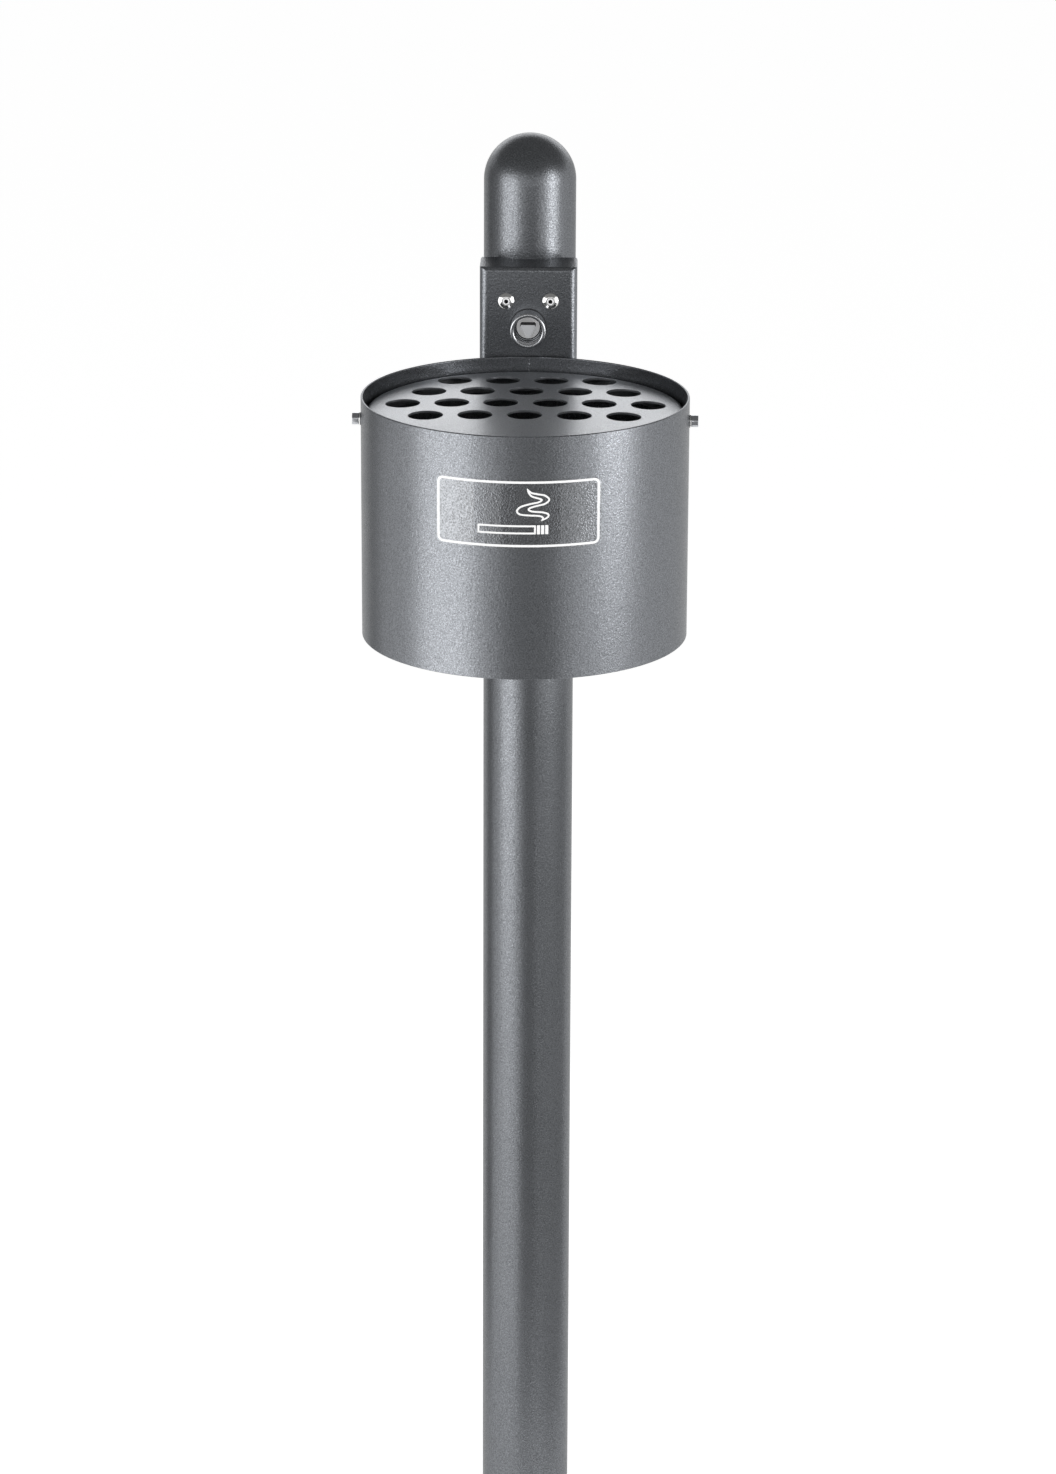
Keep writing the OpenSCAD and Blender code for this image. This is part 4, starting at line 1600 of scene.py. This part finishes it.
@dataclass
class Hinge:
    """The hinge bolt of the drum with its nut and friction washers."""

    fittings: tuple[Eased, ...] = (
        Eased("hinge_bolt", Body.STAND, STAINLESS, Slot.STAINLESS),
        Eased("hinge_nut", Body.STAND, STAINLESS, Slot.STAINLESS),
        Eased("hinge_washers", Body.STAND, NYLON, Slot.NYLON, 0.2 * MM),
    )

    def build(self) -> None:
        """Dresses the hinge."""
        fit(self.fittings)


@dataclass(frozen=True)
class Viewpoint:
    """The camera, at the viewing angle of the photograph."""

    lens: float = 120.29
    sensor: float = 36.0
    far: float = 200.0
    target: tuple[float, float, float] = (0.00007, 0.0, 0.6865)
    distance: float = 3.3343
    azimuth: float = 0.908
    pitch: float = 18.105
    roll: float = 0.227

    def build(self) -> None:
        """Sets up the camera."""
        turn, tilt, roll = (math.radians(a) for a in (self.azimuth, self.pitch, self.roll))
        ahead = Vector((-math.sin(turn) * math.cos(tilt), math.cos(turn) * math.cos(tilt), -math.sin(tilt)))
        right = Vector((math.cos(turn), math.sin(turn), 0.0))
        above = right.cross(ahead)
        across = right * math.cos(roll) + above * math.sin(roll)
        upward = above * math.cos(roll) - right * math.sin(roll)
        Bench.pick()
        bpy.ops.object.camera_add()
        camera = bpy.context.object
        turned = Matrix((across, upward, -ahead)).transposed().to_4x4()
        camera.matrix_world = Matrix.Translation(Vector(self.target) - ahead * self.distance) @ turned
        camera.data.lens = self.lens
        camera.data.sensor_width = self.sensor
        camera.data.clip_end = self.far
        bpy.context.scene.camera = camera


@dataclass(frozen=True)
class SoftBox:
    """A tall soft lamp that stands round the bin."""

    name: str
    azimuth: float
    distance: float
    low: float
    high: float
    width: float
    power: float

    def build(self) -> None:
        """Sets up the lamp, facing the post."""
        turn = math.radians(self.azimuth)
        away = Vector((math.sin(turn), -math.cos(turn), 0.0))
        Bench.pick()
        bpy.ops.object.light_add(type="AREA", location=away * self.distance + UP * (self.low + self.high) / 2)
        lamp = bpy.context.object
        lamp.name = self.name
        lamp.rotation_euler = (-away).to_track_quat("-Z", "Y").to_euler()
        lamp.data.shape = "RECTANGLE"
        lamp.data.size = self.width
        lamp.data.size_y = self.high - self.low
        lamp.data.energy = self.power
        lamp.visible_camera = False


@dataclass(frozen=True)
class Flag:
    """A dark or pale card that only reflections see.

    Its lower edge runs from left to right, and its upper edge stands back by its lean.
    """

    name: str
    level: float
    left: Pair
    right: Pair
    low: float
    high: float
    lean: float = 0.0

    def build(self) -> None:
        """Sets up the card."""
        lower = [Vector((*end, self.low)) for end in (self.left, self.right)]
        upper = [Vector((x, y + self.lean, self.high)) for x, y in (self.right, self.left)]
        obj = Bench.trace(self.name, lower + upper)
        bpy.ops.mesh.select_all(action="SELECT")
        bpy.ops.mesh.edge_face_add()
        Bench.leave()
        Bench.settle(obj)
        card = bpy.data.materials.new(self.name + "_card")
        card.use_nodes = True
        shader = card.node_tree.nodes["Principled BSDF"]
        shader.inputs["Base Color"].default_value = (0.0, 0.0, 0.0, 1.0)
        shader.inputs["Specular IOR Level"].default_value = 0.0
        shader.inputs["Emission Color"].default_value = WHITE
        shader.inputs["Emission Strength"].default_value = self.level
        obj.data.materials.append(card)
        obj.visible_camera = False
        obj.visible_diffuse = False
        obj.visible_transmission = False
        obj.visible_shadow = False


@dataclass(frozen=True)
class Studio:
    """The pale floor, the white surround, the soft lamps and the cards."""

    floor_side: float = 80.0
    floor_tone: float = 0.82
    floor_glow: float = 0.62
    fill: float = 0.45
    lamps: tuple[SoftBox, ...] = (
        SoftBox("left_softbox", -50.0, 1.53, 0.02, 1.5, 1.1, 10.9),
        SoftBox("right_softbox", 58.5, 1.45, 0.57, 1.6, 0.62, 9.2),
        SoftBox("back_softbox", 180.0, 2.4, 1.3, 2.4, 3.2, 16.0),
    )
    flags: tuple[Flag, ...] = (
        Flag("front_flag", 0.34, (-0.15, -0.45), (0.26, -0.45), 0.0, 1.28, -0.51),
        Flag("horizon_card", 2.2, (-0.12, -0.84), (0.12, -0.84), 1.0, 1.1, -0.04),
        Flag("side_flag", 0.3, (-0.58, 0.42), (-0.52, 0.08), 0.0, 1.2),
        Flag("low_flag", 0.55, (0.24, -0.45), (0.5, 0.25), 0.0, 0.6),
        Flag("white_card", 1.3, (0.78, -1.29), (1.0, -1.06), 0.0, 1.4),
        Flag("dome_flag", 0.4, (-0.6, 0.12), (-0.56, -0.14), 0.86, 1.25),
        Flag("top_flag", 0.2, (-2.6, -1.9), (2.6, -1.9), 1.75, 1.75, 2.9),
    )

    def build(self) -> None:
        """Sets up the whole studio."""
        self.build_world()
        self.build_floor()
        for lamp in self.lamps:
            lamp.build()
        for flag in self.flags:
            flag.build()
        bpy.context.scene.view_settings.view_transform = "Standard"

    @staticmethod
    def seen(sheet: Sheet) -> bpy.types.NodeSocket:
        """Makes a mask of camera, glossy and transmission rays.

        Args:
            sheet: The nodes to add it to.

        Returns:
            The mask's socket.
        """
        path = sheet.add("ShaderNodeLightPath")
        both = sheet.math("ADD", path.outputs["Is Camera Ray"], path.outputs["Is Glossy Ray"])
        mask = sheet.math("ADD", both, path.outputs["Is Transmission Ray"])
        return sheet.math("MINIMUM", mask, 1.0)

    def build_world(self) -> None:
        """Makes the surround: white where it is seen, softer where it lights."""
        world = bpy.data.worlds.new("white_surround")
        world.use_nodes = True
        sheet = Sheet(world.node_tree)
        back = world.node_tree.nodes["Background"]
        back.inputs["Color"].default_value = WHITE
        strength = sheet.span(self.seen(sheet), (0.0, 1.0), (self.fill, 1.0))
        sheet.wire(strength, back.inputs["Strength"])
        bpy.context.scene.world = world

    def build_floor(self) -> None:
        """Lays the pale floor, which keeps the bin's shadow."""
        Bench.pick()
        bpy.ops.mesh.primitive_plane_add(size=self.floor_side)
        floor = bpy.context.object
        floor.name = "studio_floor"
        pale = bpy.data.materials.new("floor_pale")
        pale.use_nodes = True
        sheet = Sheet(pale.node_tree)
        shader = pale.node_tree.nodes["Principled BSDF"]
        tone = self.floor_tone
        shader.inputs["Base Color"].default_value = (tone, tone, tone, 1.0)
        shader.inputs["Roughness"].default_value = 1.0
        shader.inputs["Specular IOR Level"].default_value = 0.0
        shader.inputs["Emission Color"].default_value = WHITE
        glow = sheet.math("MULTIPLY", self.seen(sheet), self.floor_glow)
        sheet.wire(glow, shader.inputs["Emission Strength"])
        floor.data.materials.append(pale)


def main() -> None:
    """Builds the bin, its studio and its camera."""
    Viewpoint().build()
    Studio().build()
    for assembly in (Post(), Carrier(), Lock(), Hinge(), Drum(), Sieve(), Label()):
        assembly.build()


if __name__ == "__main__":
    main()
